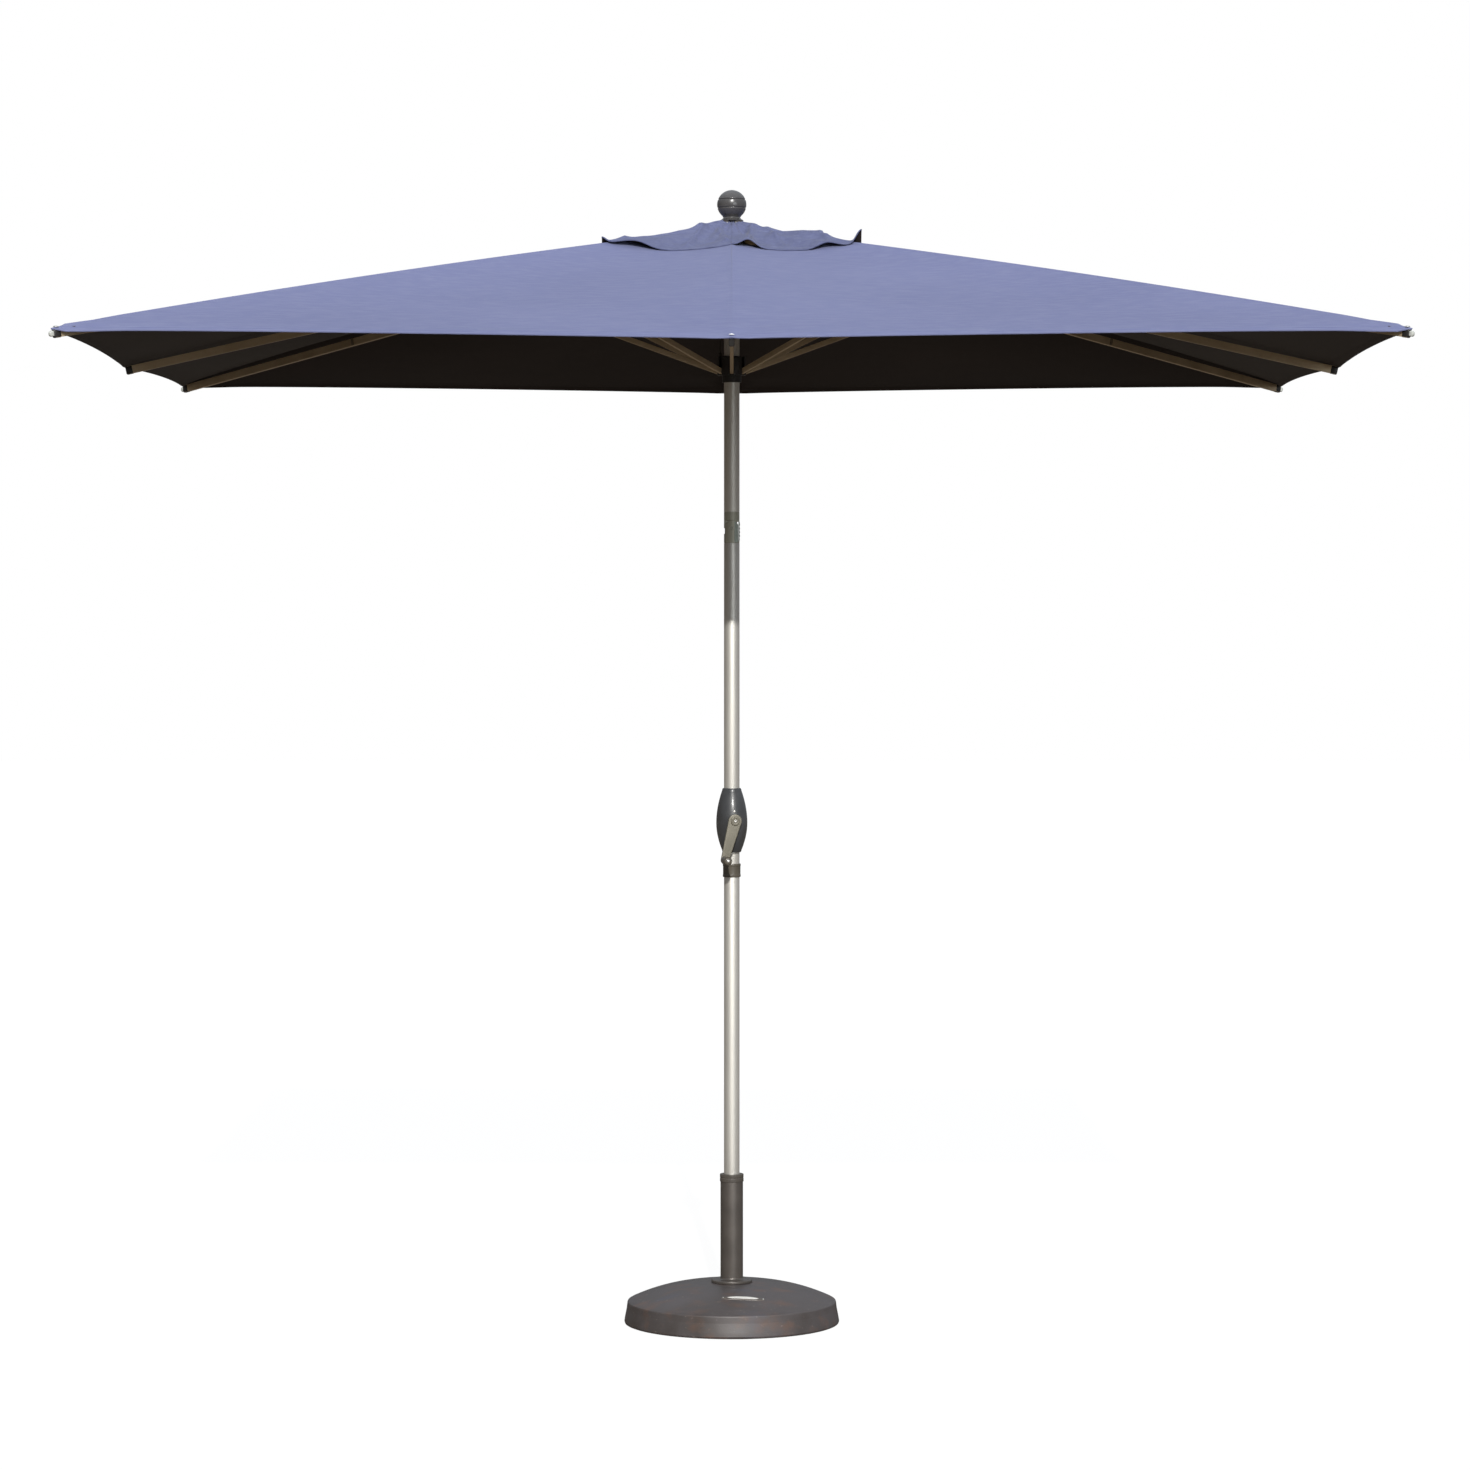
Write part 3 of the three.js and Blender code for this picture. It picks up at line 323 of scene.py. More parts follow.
def closed_faces(n, m):
    """The faces of two n by m grids, the second turned over, and the band that joins their rims."""
    upper = grid_faces(n, m)
    rim = np.concatenate([np.arange(m), np.arange(1, n) * m + m - 1, (n - 1) * m + np.arange(m - 1)[::-1],
                          np.arange(1, n - 1)[::-1] * m])
    after = np.roll(rim, -1)
    return upper, upper[:, ::-1] + n * m, np.stack([after, rim, rim + n * m, after + n * m], axis=1)


def closed_sheet(name, front, back, body, finish, replaces=(), sharp=50):
    """Two grids of the same size joined round their rim."""
    points = np.concatenate([front.reshape(-1, 3), back.reshape(-1, 3)])
    return mesh_piece(name, points, np.concatenate(closed_faces(*front.shape[:2])), body, [finish], replaces,
                      sharp=sharp)


def angles(count):
    """Evenly spaced angles round a full turn."""
    return np.arange(count) * 2 * np.pi / count


def round_box(count, power):
    """A unit square with round corners: the cosine and sine, their sizes raised to a power."""
    c, s = np.cos(angles(count)), np.sin(angles(count))
    return np.stack([np.sign(c) * np.abs(c) ** power, np.sign(s) * np.abs(s) ** power], axis=1)


def mm_profile(start, *places):
    """An outline from (radius, height) pairs in millimetres, with the heights counted from start, in metres."""
    return [[r * MM, start + h * MM] for r, h in places]


def rounded(outline, radius, steps=4):
    """An outline whose corners become arcs: each corner's point is blended along a quadratic curve."""
    outline = np.array(outline, float)
    out = []
    for k, point in enumerate(outline):
        before, after = outline[k - 1] - point, outline[(k + 1) % len(outline)] - point
        lengths = np.linalg.norm(before), np.linalg.norm(after)
        if point[0] < 1e-9 or min(lengths) < 1e-9:
            out.append(point[None])
            continue
        reach = min(radius, 0.45 * min(lengths))
        t = np.linspace(0, 1, steps + 1)[:, None]
        start, end = point + before / lengths[0] * reach, point + after / lengths[1] * reach
        out.append((1 - t) ** 2 * start + 2 * t * (1 - t) * point + t ** 2 * end)
    return np.concatenate(out)


def turned(name, outline, body, finish, replaces=(), radius=0.8 * MM, sides=72, centre=(0, 0), axis="z",
           turn=0.0, at=(0, 0, 0), sharp=35):
    """A closed outline of (radius, height) turned round an axis: x = r cos t, y = r sin t, z = height.
    With axis "y" the height runs along -Y; turn then swings that axis round +Z."""
    profile = rounded(outline, radius)
    t = angles(sides)
    r, h = profile[:, 0][:, None], profile[:, 1][:, None] + 0 * t
    x, y = centre[0] + r * np.cos(t), centre[1] + r * np.sin(t)
    points = np.stack([x, y, h], axis=-1) if axis == "z" else np.stack([x, -h, y], axis=-1)
    points = points @ about_z(turn).T + np.array(at)
    return mesh_piece(name, points, grid_faces(len(profile), sides, True, True), body, [finish], replaces,
                      sharp=sharp)


def about_z(angle):
    """The matrix that turns points by angle about +Z."""
    c, s = math.cos(angle), math.sin(angle)
    return np.array([[c, -s, 0], [s, c, 0], [0, 0, 1]])


def tube_along(name, path, r, body, finish, replaces=(), sides=12):
    """A round section carried along a path: each ring stands across the path's own direction."""
    path = np.array(path, float)
    way = np.gradient(path, axis=0)
    way /= np.linalg.norm(way, axis=1)[:, None]
    side = np.cross(way, np.array([0.13, 0.97, 0.21]))
    side /= np.linalg.norm(side, axis=1)[:, None]
    up = np.cross(side, way)
    t = angles(sides)
    ring = path[:, None] + r * (np.cos(t)[None, :, None] * side[:, None] + np.sin(t)[None, :, None] * up[:, None])
    faces = grid_faces(len(path), sides, False, True).tolist()
    faces += [list(range(sides)), list(range((len(path) - 1) * sides, len(path) * sides))[::-1]]
    return mesh_piece(name, ring, faces, body, [finish], replaces)


def smooth_path(points, steps=40):
    """A Catmull-Rom curve through the points."""
    p = np.array(points, float)
    p = np.concatenate([[2 * p[0] - p[1]], p, [2 * p[-1] - p[-2]]])
    out = []
    for a, b, c, d in zip(p, p[1:], p[2:], p[3:]):
        t = np.linspace(0, 1, steps, endpoint=False)[:, None]
        out.append(0.5 * (2 * b + (c - a) * t + (2 * a - 5 * b + 4 * c - d) * t ** 2
                          + (3 * b - a - 3 * c + d) * t ** 3))
    return np.concatenate(out + [p[-2][None]])


def pillow(name, outline, half, edge, body, finish, place, replaces=()):
    """A plate with rounded rims: rings of one outline, drawn in by edge(1 - cos a) as the height goes by a quarter
    turn to each face. place maps (x, height, z) points to the row frame."""
    outline = np.array(outline, float)
    way = np.roll(outline, -1, axis=0) - np.roll(outline, 1, axis=0)
    normal = np.stack([way[:, 1], -way[:, 0]], axis=1)
    normal /= np.linalg.norm(normal, axis=1)[:, None]
    a = np.linspace(-np.pi / 2, np.pi / 2, 9)
    drawn = edge * (1 - np.cos(a))
    height = np.where(a < 0, -(half - edge), half - edge) + edge * np.sin(a)
    rings = outline[None] - drawn[:, None, None] * normal[None]
    points = np.concatenate([rings[..., :1], np.broadcast_to(height[:, None, None], rings[..., :1].shape),
                             rings[..., 1:]], axis=-1)
    n = len(outline)
    faces = grid_faces(len(a), n, False, True).tolist()
    faces += [list(range(n)), list(range((len(a) - 1) * n, len(a) * n))[::-1]]
    return mesh_piece(name, place(points.reshape(-1, 3)), faces, body, [finish], replaces, sharp=50)


def metal_node(node, finish, bevel=0.7 * MM):
    """Dresses a CAD node: its loose triangles are welded and its edges bevelled by modifiers."""
    obj = frame["nodes"][node]
    obj.data.materials.clear()
    obj.data.materials.append(finish)
    weld = obj.modifiers.new("weld", "WELD")
    weld.merge_threshold = 1e-5
    edge = obj.modifiers.new("edge", "BEVEL")
    edge.width, edge.segments, edge.limit_method, edge.angle_limit = bevel, 2, "ANGLE", math.radians(40)
    edge.use_clamp_overlap = True
    return obj


# -------------------- canopy layout from the frame
SIDES = ["right", "rear_right", "rear", "rear_left", "left", "front_left", "front", "front_right"]
leaf_joints = [JOINTS[f"canopy_{side}_a_fold"] for side in SIDES]
TIPS = np.array([joint["pos_m"] for joint in leaf_joints])
ways = np.array([joint["axis"] for joint in leaf_joints])
APEX = np.array([0, 0, (TIPS[0] - ways[0] * (TIPS[0][0] / ways[0][0]))[2]])
OPEN_SHARE = 0.17  # the main canopy's square opening under the vent cap, as a share of its size
CLOTH_THICK = 1.1 * MM
HEM, VENT_HEM = 24 * MM, 14 * MM
CAMBER, SAG = 11 * MM, 13 * MM


def gore_end(i, step):
    """Where the gore's halving line meets the hem, as a share of the way from this tip to the next."""
    own, other = (np.linalg.norm(TIPS[k % 8] - APEX) for k in (i, i + step))
    return own / (own + other)


def tip_folds(points):
    """What the pull on each tip does to the cloth, by the distance d and the angle a from the rib as seen at the tip:
    folds that run out of it, -5 mm (1 - cos 5a)/2 exp(-d/0.13), and puckers 26 mm apart that die away in 90 mm."""
    lift = np.zeros(points.shape[:-1])
    for tip in TIPS:
        away = points[..., :2] - tip[:2]
        d = np.linalg.norm(away, axis=-1)
        inward = -tip[:2] / np.linalg.norm(tip[:2])
        a = np.arccos(np.clip((away @ inward) / np.maximum(d, 1e-9), -1, 1))
        soft = np.minimum(d / 0.03, 1)
        lift -= 5 * MM * (1 - np.cos(5 * a)) / 2 * np.exp(-d / 0.13) * soft
        lift += 1.5 * MM * np.sin(2 * np.pi * (away @ inward) / 0.026) * np.exp(-((d - 0.03) / 0.09) ** 2) * soft
    return lift


def canopy_point(i, step, s, u):
    """Main canopy: s runs from the apex to the hem and u from this rib to the next. A straight chord between the rib
    lines, plus the ribs' camber, less the sag between them, with the hem drawn in between the tips."""
    tip, other = TIPS[i], TIPS[(i + step) % 8]
    across = 4 * u * (1 - u)
    short = abs(tip[0]) > 1.3 and abs(other[0]) > 1.3
    pull = (0.008 if short else 0.004) * across
    share = s * (1 - pull * s ** 6)
    point = APEX + share[..., None] * ((1 - u)[..., None] * tip + u[..., None] * other - APEX)
    bow = np.maximum(np.sin(np.pi * s), 0)
    droop = 3.5 * MM * np.exp(-((1 - s) / 0.012) ** 2)
    point[..., 2] += CAMBER * bow ** 0.8 * (1 - across) - SAG * bow * across - droop
    point[..., 2] += tip_folds(point)
    return point


def cloth_leaf(name, surface, end, i, step, rows, columns, lift, body, replaces, finish=CLOTH):
    """A half gore between a rib and the halving line: the outer side follows surface(s, u), the inner side lies one
    cloth below it, and the seams and hem stand up by the felled cloth's extra thickness."""
    s, u = np.meshgrid(rows, columns * end, indexing="ij")
    small = 1e-4
    outer = surface(i, step, s, u)
    along = surface(i, step, s + small, u) - surface(i, step, s - small, u)
    sideways = surface(i, step, s, u + small) - surface(i, step, s, u - small)
    normal = np.cross(along, sideways) * step
    normal /= np.linalg.norm(normal, axis=-1)[..., None]
    normal *= np.sign(normal[..., 2:])
    top = outer + normal * (CLOTH_THICK + lift(s, u))[..., None]
    points = np.concatenate([top.reshape(-1, 3), outer.reshape(-1, 3)])
    upper, lower, sides = closed_faces(*s.shape)
    faces = np.concatenate([upper, lower, sides])
    tag = np.concatenate([np.zeros(len(upper)), np.ones(len(lower)), np.zeros(len(sides))])
    reach = np.linalg.norm(TIPS[i] - APEX)
    chord = np.linalg.norm(TIPS[(i + step) % 8] - TIPS[i])
    uv = np.stack([s * reach, (u - 0.5) * s * chord], axis=-1).reshape(-1, 2)
    # The inner side's faces take the underside cloth, whose dark colour is painted shade.
    piece = mesh_piece(name, points, faces, body, [finish, CLOTH_UNDERSIDE_PAINTED_SHADE], replaces, tag, np.tile(uv, (2, 1)), 60)
    rib_line = (TIPS[i] - APEX) / reach
    across = TIPS[(i + step) % 8] - APEX
    across -= rib_line * (across @ rib_line)
    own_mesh(piece)
    return piece


def felled(reach, chord, hem, seam, hem_up, seam_up, stitch_down=0.0):
    """How far the cloth stands up, in metres, over its doubled hem and seam, less the line of stitches in the hem."""
    def lift(s, u):
        in_hem = np.clip(((s - 1) * reach + hem) / (1.2 * MM), 0, 1)
        in_seam = np.clip((seam - u * chord * s) / (1.5 * MM), 0, 1)
        stitched = np.exp(-(((s - 1) * reach + hem * 0.84) / (1.1 * MM)) ** 2)
        return hem_up * in_hem + seam_up * in_seam - stitch_down * stitched
    return lift


def ramp_rows(start, edges, count):
    """Row positions from start to 1 that are close together near the given edges."""
    base = np.linspace(start, 1, count)
    return np.unique(np.round(np.concatenate([base, *edges]), 6))


def canopy_leaves():
    """Sixteen half gores that meet edge to edge as one sewn cloth."""
    for i, side in enumerate(SIDES):
        reach = np.linalg.norm(TIPS[i] - APEX)
        band = HEM / reach
        rows = ramp_rows(OPEN_SHARE, [1 - band * np.array([0.0, 0.06, 0.12, 0.72, 0.8, 0.86, 0.93, 0.985, 1.03]),
                                      OPEN_SHARE + band * np.array([0.3, 0.5, 0.6])], 46)
        for step, letter in ((1, "a"), (-1, "b")):
            end = gore_end(i, step)
            chord = np.linalg.norm(TIPS[(i + step) % 8] - TIPS[i])
            seam = 7 * MM / (chord * end)
            columns = np.unique(np.concatenate([np.linspace(0, 1, 30), [seam * 0.5, seam, seam * 1.3, seam * 2]]))
            lift = felled(reach, chord, HEM, 7 * MM, 0.9 * MM, 0.7 * MM, 0.7 * MM)
            cloth_leaf(f"canopy_cloth_{side}_{letter}", canopy_point, end, i, step, rows, columns, lift,
                       f"canopy_{side}_{letter}", [f"canopy_{side}_{letter}"])


# -------------------- vent cap
finial_low, finial_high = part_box("finial")
VENT_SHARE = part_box("vent_canopy")[1][0] / TIPS[0][0]
VENT_START = 0.08
# how far each corner or mid-side of the cap curls up, in the order of SIDES, and how wide the curl is
VENT_CURL = np.array([4, 14, 3, 12, 6, 9, 0, 28]) * MM
VENT_CURL_WIDTH = np.array([30, 18, 30, 18, 30, 11, 30, 15]) * MM
# arches of the hem: the way round in degrees, the half width in degrees and the height
VENT_ARCHES = ((-134, 6, 17), (-80.6, 5.5, 17), (-46.5, 4, 13), (-8, 9, 9), (28, 7, 8), (68, 8, 14), (106, 8, 12),
               (131, 6, 9), (171, 10, 12))
# puffs of the slack cap: place in metres, width and height in millimetres
VENT_PUFFS = ((0.19, -0.09, 50, 19), (-0.05, -0.02, 30, 6), (0.05, -0.02, 26, 5), (-0.14, -0.05, 34, -8),
              (0.1, 0.12, 50, 12), (-0.16, 0.1, 50, 14), (-0.02, 0.15, 50, 10), (-0.22, -0.02, 45, 6),
              (0.1, -0.06, 24, -8), (-0.06, -0.15, 32, -5), (0.1, -0.17, 26, -6))
# sharp folds: two ends in metres, height and width in millimetres
VENT_RIDGES = ((0.045, -0.05, 0.036, -0.23, 12, 9), (0.08, -0.05, 0.2, -0.11, 9, 11),
               (0.2, -0.11, 0.22, -0.23, 10, 12), (-0.08, -0.05, -0.235, -0.13, 11, 11),
               (-0.235, -0.13, -0.24, -0.23, 9, 14), (-0.065, -0.06, -0.1, -0.19, 10, 8),
               (-0.03, -0.06, -0.012, -0.17, 9, 8), (0.09, -0.09, 0.12, -0.2, 9, 8),
               (0.05, 0.04, 0.12, 0.21, 10, 12), (-0.05, 0.04, -0.14, 0.21, 10, 12),
               (-0.08, 0, -0.27, 0.03, 9, 11), (0.08, 0, 0.27, 0.02, 9, 11))


def vent_point(i, step, s, u):
    """Vent cap: the canopy's own shape, raised by a gap that closes towards the hem, plus the arches of the slack hem,
    the puffs and sharp folds between them, small creases that fan out from the finial, and the corners' curl."""
    point = canopy_point(i, step, s * VENT_SHARE, u)
    x, y = point[..., 0], point[..., 1]
    way = np.degrees(np.arctan2(y, x))
    lift = (21 * (1 - s) ** 5 + 2) * MM
    for centre, half, height in VENT_ARCHES:
        apart = (way - centre + 180) % 360 - 180
        lift += height * MM * np.exp(-(apart / half) ** 2) * s ** 2.2
    for px, py, width, height in VENT_PUFFS:
        lift += height * MM * np.exp(-((x - px) ** 2 + (y - py) ** 2) / (width * MM) ** 2) * (1 - s ** 6)
    for x0, y0, x1, y1, height, width in VENT_RIDGES:
        run = np.array([x1 - x0, y1 - y0])
        t = np.clip(((x - x0) * run[0] + (y - y0) * run[1]) / (run @ run), 0, 1)
        d = np.hypot(x - x0 - t * run[0], y - y0 - t * run[1])
        lift += height * MM * np.exp(-(d / (width * MM)) ** 1.2) * (1 - s ** 8)
    for k in range(8):
        corner = TIPS[k][:2] * VENT_SHARE
        d = np.hypot(x - corner[0], y - corner[1])
        lift += VENT_CURL[k] * np.exp(-(d / VENT_CURL_WIDTH[k]) ** 2)
    fan = np.sin(np.radians(way) * 13 + 2 * np.sin(s * 5)) + 0.6 * np.sin(np.radians(way) * 23 + 1.3 + 3 * s)
    lift += 1.5 * MM * fan * np.exp(-((s - 0.3) / 0.3) ** 2)
    lift += 0.9 * MM * np.sin(x * 95 + 30 * y) * np.sin(y * 60 - 20 * x + 1) * (1 - s ** 4)
    point[..., 2] += lift
    return point


def vent_leaves():
    """Sixteen half gores of the vent cap; they go down with the canopy below them."""
    for i, side in enumerate(SIDES):
        reach = np.linalg.norm(TIPS[i] - APEX) * VENT_SHARE
        band = VENT_HEM / reach
        rows = ramp_rows(VENT_START, [1 - band * np.array([0.0, 0.08, 0.75, 0.85, 0.95, 1.05])], 60)
        for step, letter in ((1, "a"), (-1, "b")):
            chord = np.linalg.norm(TIPS[(i + step) % 8] - TIPS[i]) * VENT_SHARE
            lift = felled(reach, chord, VENT_HEM, 5 * MM, 0.8 * MM, 0.5 * MM)
            # The vent's cloth is darker than the canopy's: painted shade for its folds.
            cloth_leaf(f"vent_cloth_{side}_{letter}", vent_point, gore_end(i, step), i, step, rows,
                       np.linspace(0, 1, 52), lift, f"canopy_{side}_{letter}", ["vent_canopy"],
                       CRUMPLED_CLOTH_PAINTED_SHADE)


# -------------------- ribs, struts and what is on them
def rib_places(i):
    """A rib's pivot, its unit way out, its unit way up, and its sideways way."""
    side = SIDES[i]
    joint = JOINTS[FOLD if side == "rear_right" else f"rib_{side}_fold"]
    pivot = np.array(joint["pos_m"])
    tip = TIPS[i] - np.array([0, 0, 12.5 * MM])
    out = (tip - pivot) / np.linalg.norm(tip - pivot)
    sideways = np.array([-TIPS[i][1], TIPS[i][0], 0]) / np.hypot(*TIPS[i][:2])
    return pivot, out, np.cross(out, sideways), sideways, np.linalg.norm(tip - pivot)


def box_ring(name, centre, out, up, sideways, size, wall, length, body, finish):
    """A rounded band round a rib: a superellipse section with a wall, carried along the rib."""
    shape = round_box(40, 0.35)
    rings = []
    for grow, along in ((wall, -1), (wall, 1), (0.0, 1), (0.0, -1)):
        ring = shape * (np.array(size) / 2 + grow)
        rings.append(centre + ring[:, :1] * sideways + ring[:, 1:] * up + out * along * length / 2)
    return mesh_piece(name, np.stack(rings), grid_faces(4, 40, True, True), body, [finish])


def ribs_and_struts():
    """Ribs and struts keep their CAD shape; each rib gets a nylon end cap with a pale nose at the corners, a rivet
    through the cloth, and two cloth ties."""
    sides = 28
    section = round_box(sides, 0.45)
    for i, side in enumerate(SIDES):
        metal_node(f"rib_{side}", RIB_METAL, 1.1 * MM)
        metal_node(f"strut_{side}", RIB_METAL, 0.9 * MM)
        pivot, out, up, sideways, length = rib_places(i)
        frame_of_tip = np.stack([out, sideways, up])
        corner = i % 2 == 1

        def swept(name, steps, size, finish):
            rings = np.stack([np.concatenate([np.full((sides, 1), x * MM), section * size * k], axis=1)
                              for x, k in steps])
            faces = grid_faces(len(steps), sides, False, True).tolist() + [list(range(sides))[::-1]]
            mesh_piece(name, pivot + out * length + rings.reshape(-1, 3) @ frame_of_tip, faces, f"rib_{side}",
                       [finish])
        size = np.array([5.6 * MM, 9.2 * MM])
        swept(f"rib_cap_{side}", [[-20, 1.0], [-19.5, 1.05], [-8, 1.05], [-6, 0.98], [-5, 0.85], [-4.6, 0.0]], size,
              NYLON)
        if corner:
            nose = [[-4.6, 0.9], [-2, 1.0], [1, 0.95], [3.4, 0.7], [4.6, 0.4], [5, 0.0]]
            swept(f"rib_nose_{side}", nose, np.array([5 * MM, 6 * MM]), GREY_NYLON)
        for k, share in enumerate((0.33, 0.66)):
            box_ring(f"rib_tie_{side}_{k + 1}", pivot + out * length * share + up * 1.2 * MM, out, up, sideways,
                     (10.8 * MM, 18.6 * MM), 0.6 * MM, 7 * MM, f"rib_{side}", TIE_CLOTH)
        top = canopy_point(i, 1, np.array([1 - 0.011 / length]), np.array([0.0]))[0] + np.array([0, 0, 2.6 * MM])
        turned(f"tip_rivet_{side}", mm_profile(0, (0, -0.8), (6, -0.8), (5.2, 1.0), (0, 2.2)), f"rib_{side}",
               THREAD if i % 2 == 0 else RIVET_METAL, (), 0.3 * MM, 20, at=tuple(top))


# -------------------- pole
POLE_R, POLE_WALL = 17.5 * MM, 1.5 * MM


def tube(name, node, r, wall, low, high, body, edge=0.6 * MM):
    """A drawn tube: a ring section between two heights."""
    turned(name, [[r - wall, low], [r, low], [r, high], [r - wall, high]], body, POLE_METAL, [node], edge)


def pole():
    """The three tubes, the collar over their joint, and the dressed CAD pieces of the tilt joint."""
    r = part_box("lower_pole")[1][0]
    wall = POLE_WALL
    low, high = span("lower_pole")
    tube("pole_tube_lower", "lower_pole", r, wall, low, high, "pole")
    high_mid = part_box("mid_pole")[1][2]
    tube("pole_tube_middle", "mid_pole", r, wall, high + 0.3 * MM, high_mid, "pole")
    tube("pole_tube_upper", "upper_pole", r, wall, *span("upper_pole"), "head")
    a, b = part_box("pole_collar")
    bead = ((0.4, 0), (0, 1.5), (0, 5), (0.5, 5.8))  # each rim's bead: how far in, and how far from the end, in mm
    lower = [[b[0] - x * MM, a[2] + z * MM] for x, z in bead]
    upper = [[b[0] - x * MM, b[2] - z * MM] for x, z in reversed(bead)]
    turned("pole_collar_ring", [[r + 0.2 * MM, a[2]], *lower, *upper, [r + 0.2 * MM, b[2]]],
           "pole", COLLAR_ABS, ["pole_collar"], 0.6 * MM)
    spring = metal_node("button_spring", STEEL, 0.05 * MM)
    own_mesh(spring)
    for node, finish, slot, bevel in (
            ("pole_foot_plug", NYLON, "black_plastic", 0.8), ("tilt_fork", TILT_CAST, "tilt_joint", 0.6),
            ("tilt_tongue", TILT_CAST, "tilt_joint", 0.6), ("tilt_pin", PIN_STEEL, "steel", 0.5),
            ("pulley", NYLON, "black_plastic", 0.3), ("crank_spool", STEEL, "steel", 0.3),
            ("top_hub", NYLON, "black_plastic", 0.8), ("runner", NYLON, "black_plastic", 0.8),
            ("lift_cord_inner", CORD_BRAID, "cord", 0.05), ("lift_cord_head", CORD_BRAID, "cord", 0.05)):
        metal_node(node, finish, bevel * MM)


def tilt_button():
    """A push button that is curved like the pole, with five thumb ribs, in a bezel on each side of it."""
    low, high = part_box("tilt_button")
    half = math.asin(high[1] / high[0])
    a, z = np.meshgrid(np.linspace(-half, half, 30), np.linspace(low[2], high[2], 90), indexing="ij")
    along = (z - low[2]) / (high[2] - low[2])
    edge = np.minimum.reduce([z - low[2], high[2] - z, (half - np.abs(a)) * high[0]])
    ribs = 0.5 * MM * np.clip(np.sin(along * np.pi * 10) * 3, -1, 1) * (np.abs(along - 0.5) < 0.4)
    r = high[0] - 0.5 * MM + ribs * np.clip(edge / (1.5 * MM), 0, 1)
    r = r - 0.8 * MM * (1 - np.clip(edge / (1.2 * MM), 0, 1)) ** 2
    front = np.stack([r * np.cos(a), r * np.sin(a), z], axis=-1)
    back = np.stack([np.full_like(r, low[0]), r * np.sin(a), z], axis=-1)
    closed_sheet("tilt_button_face", front, back, "button", BUTTON_ABS, ["tilt_button"])
    pivot, fork_low = JOINTS["tilt"]["pos_m"][2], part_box("tilt_fork")[0][2]
    for side, name in ((-1, "front"), (1, "rear")):
        a = np.linspace(half + 0.06, math.radians(70), 24)[:, None]
        top = pivot + np.sqrt(np.maximum((16.1 * MM) ** 2 - (POLE_R * np.cos(a)) ** 2, 0))
        z = fork_low + 1 * MM + (top - fork_low - 1 * MM) * np.linspace(0, 1, 60)[None]
        edge = np.minimum(np.minimum(z - z[:, :1], z[:, -1:] - z), POLE_R * np.minimum(a - a[0], a[-1] - a))
        r = 17.6 * MM + 0.5 * MM * np.sqrt(np.clip(edge / (0.8 * MM), 0, 1))
        front = np.stack([r * np.cos(a), side * r * np.sin(a), z], axis=-1)
        back = np.stack([16.9 * MM * np.cos(a) + 0 * z, side * 16.9 * MM * np.sin(a) + 0 * z, z], axis=-1)
        closed_sheet(f"tilt_bezel_{name}", front, back, "pole", BUTTON_ABS)
    a, z = np.meshgrid(np.radians(np.linspace(-76, 76, 40)), np.linspace(high[2] + 0.2 * MM, pivot + 22.5 * MM, 12),
                       indexing="ij")
    front, back = (np.stack([r * np.cos(a), r * np.sin(a), z], axis=-1) for r in (17.4 * MM, 15.8 * MM))
    closed_sheet("tilt_lip", front, back, "head", TILT_CAST)


# -------------------- crank
crank_joint = JOINTS["crank_turn"]
CRANK_TURN = math.atan2(crank_joint["axis"][0], -crank_joint["axis"][1])
CRANK_Z = crank_joint["pos_m"][2]
grip_place = np.array(JOINTS["grip_spin"]["pos_m"])
HOUSE_LOW, HOUSE_HIGH = span("crank_housing_front")
HOUSE_R, HOUSE_END, HOUSE_WIDE = 35 * MM, 19.5 * MM, 1.126
FRONT, REAR = 1.18, 0.95


def housing_shell(name, node, side, stretch):
    """One half of the housing: radius end + (wide - end) sin(share of the way to the widest height), stretched
    along Y, with a wall, a lip at each end, and a rounded parting edge."""
    share = np.concatenate([np.linspace(0, 1, 26), np.linspace(1, 0, 30)[1:]])
    z = np.concatenate([HOUSE_LOW + (HOUSE_WIDE - HOUSE_LOW) * np.linspace(0, 1, 26),
                        HOUSE_WIDE + (HOUSE_HIGH - HOUSE_WIDE) * np.linspace(0, 1, 30)[1:]])
    r = HOUSE_END + (HOUSE_R - HOUSE_END) * np.sin(share * np.pi / 2) ** 0.85
    r = r + 0.6 * MM * (np.minimum(z - HOUSE_LOW, HOUSE_HIGH - z) < 3 * MM)
    t = np.linspace(0, np.pi, 61)
    edge = np.minimum(t, np.pi - t)
    draw = 0.9 * MM * (1 - np.clip(edge / 0.05, 0, 1)) ** 2
    inner = np.maximum(r - 2.4 * MM, 17.8 * MM)
    outer = np.stack([(r[:, None] - draw) * np.cos(t), side * ((r[:, None] - draw) * np.sin(t) * stretch
                                                              + 0.25 * MM), z[:, None] + 0 * t], axis=-1)
    inside = np.stack([inner[:, None] * np.cos(t), side * (inner[:, None] * np.sin(t)
                                                          * np.where(inner > 18 * MM, stretch, 1)[:, None]
                                                          + 0.25 * MM), z[:, None] + 0 * t], axis=-1)
    turn = about_z(CRANK_TURN).T
    closed_sheet(name, outer @ turn, inside @ turn, "pole", HOUSING_ABS, [node], 35)


def strap_outline(r0, r1, length, steps=24):
    """Two round ends joined by straight tangents, from (0, 0) to (length, 0)."""
    lean = math.acos((r0 - r1) / length)
    far, near = np.linspace(-lean, lean, steps), np.linspace(lean, 2 * np.pi - lean, steps)
    return np.concatenate([np.stack([length + r1 * np.cos(far), r1 * np.sin(far)], 1),
                           np.stack([r0 * np.cos(near), r0 * np.sin(near)], 1)])


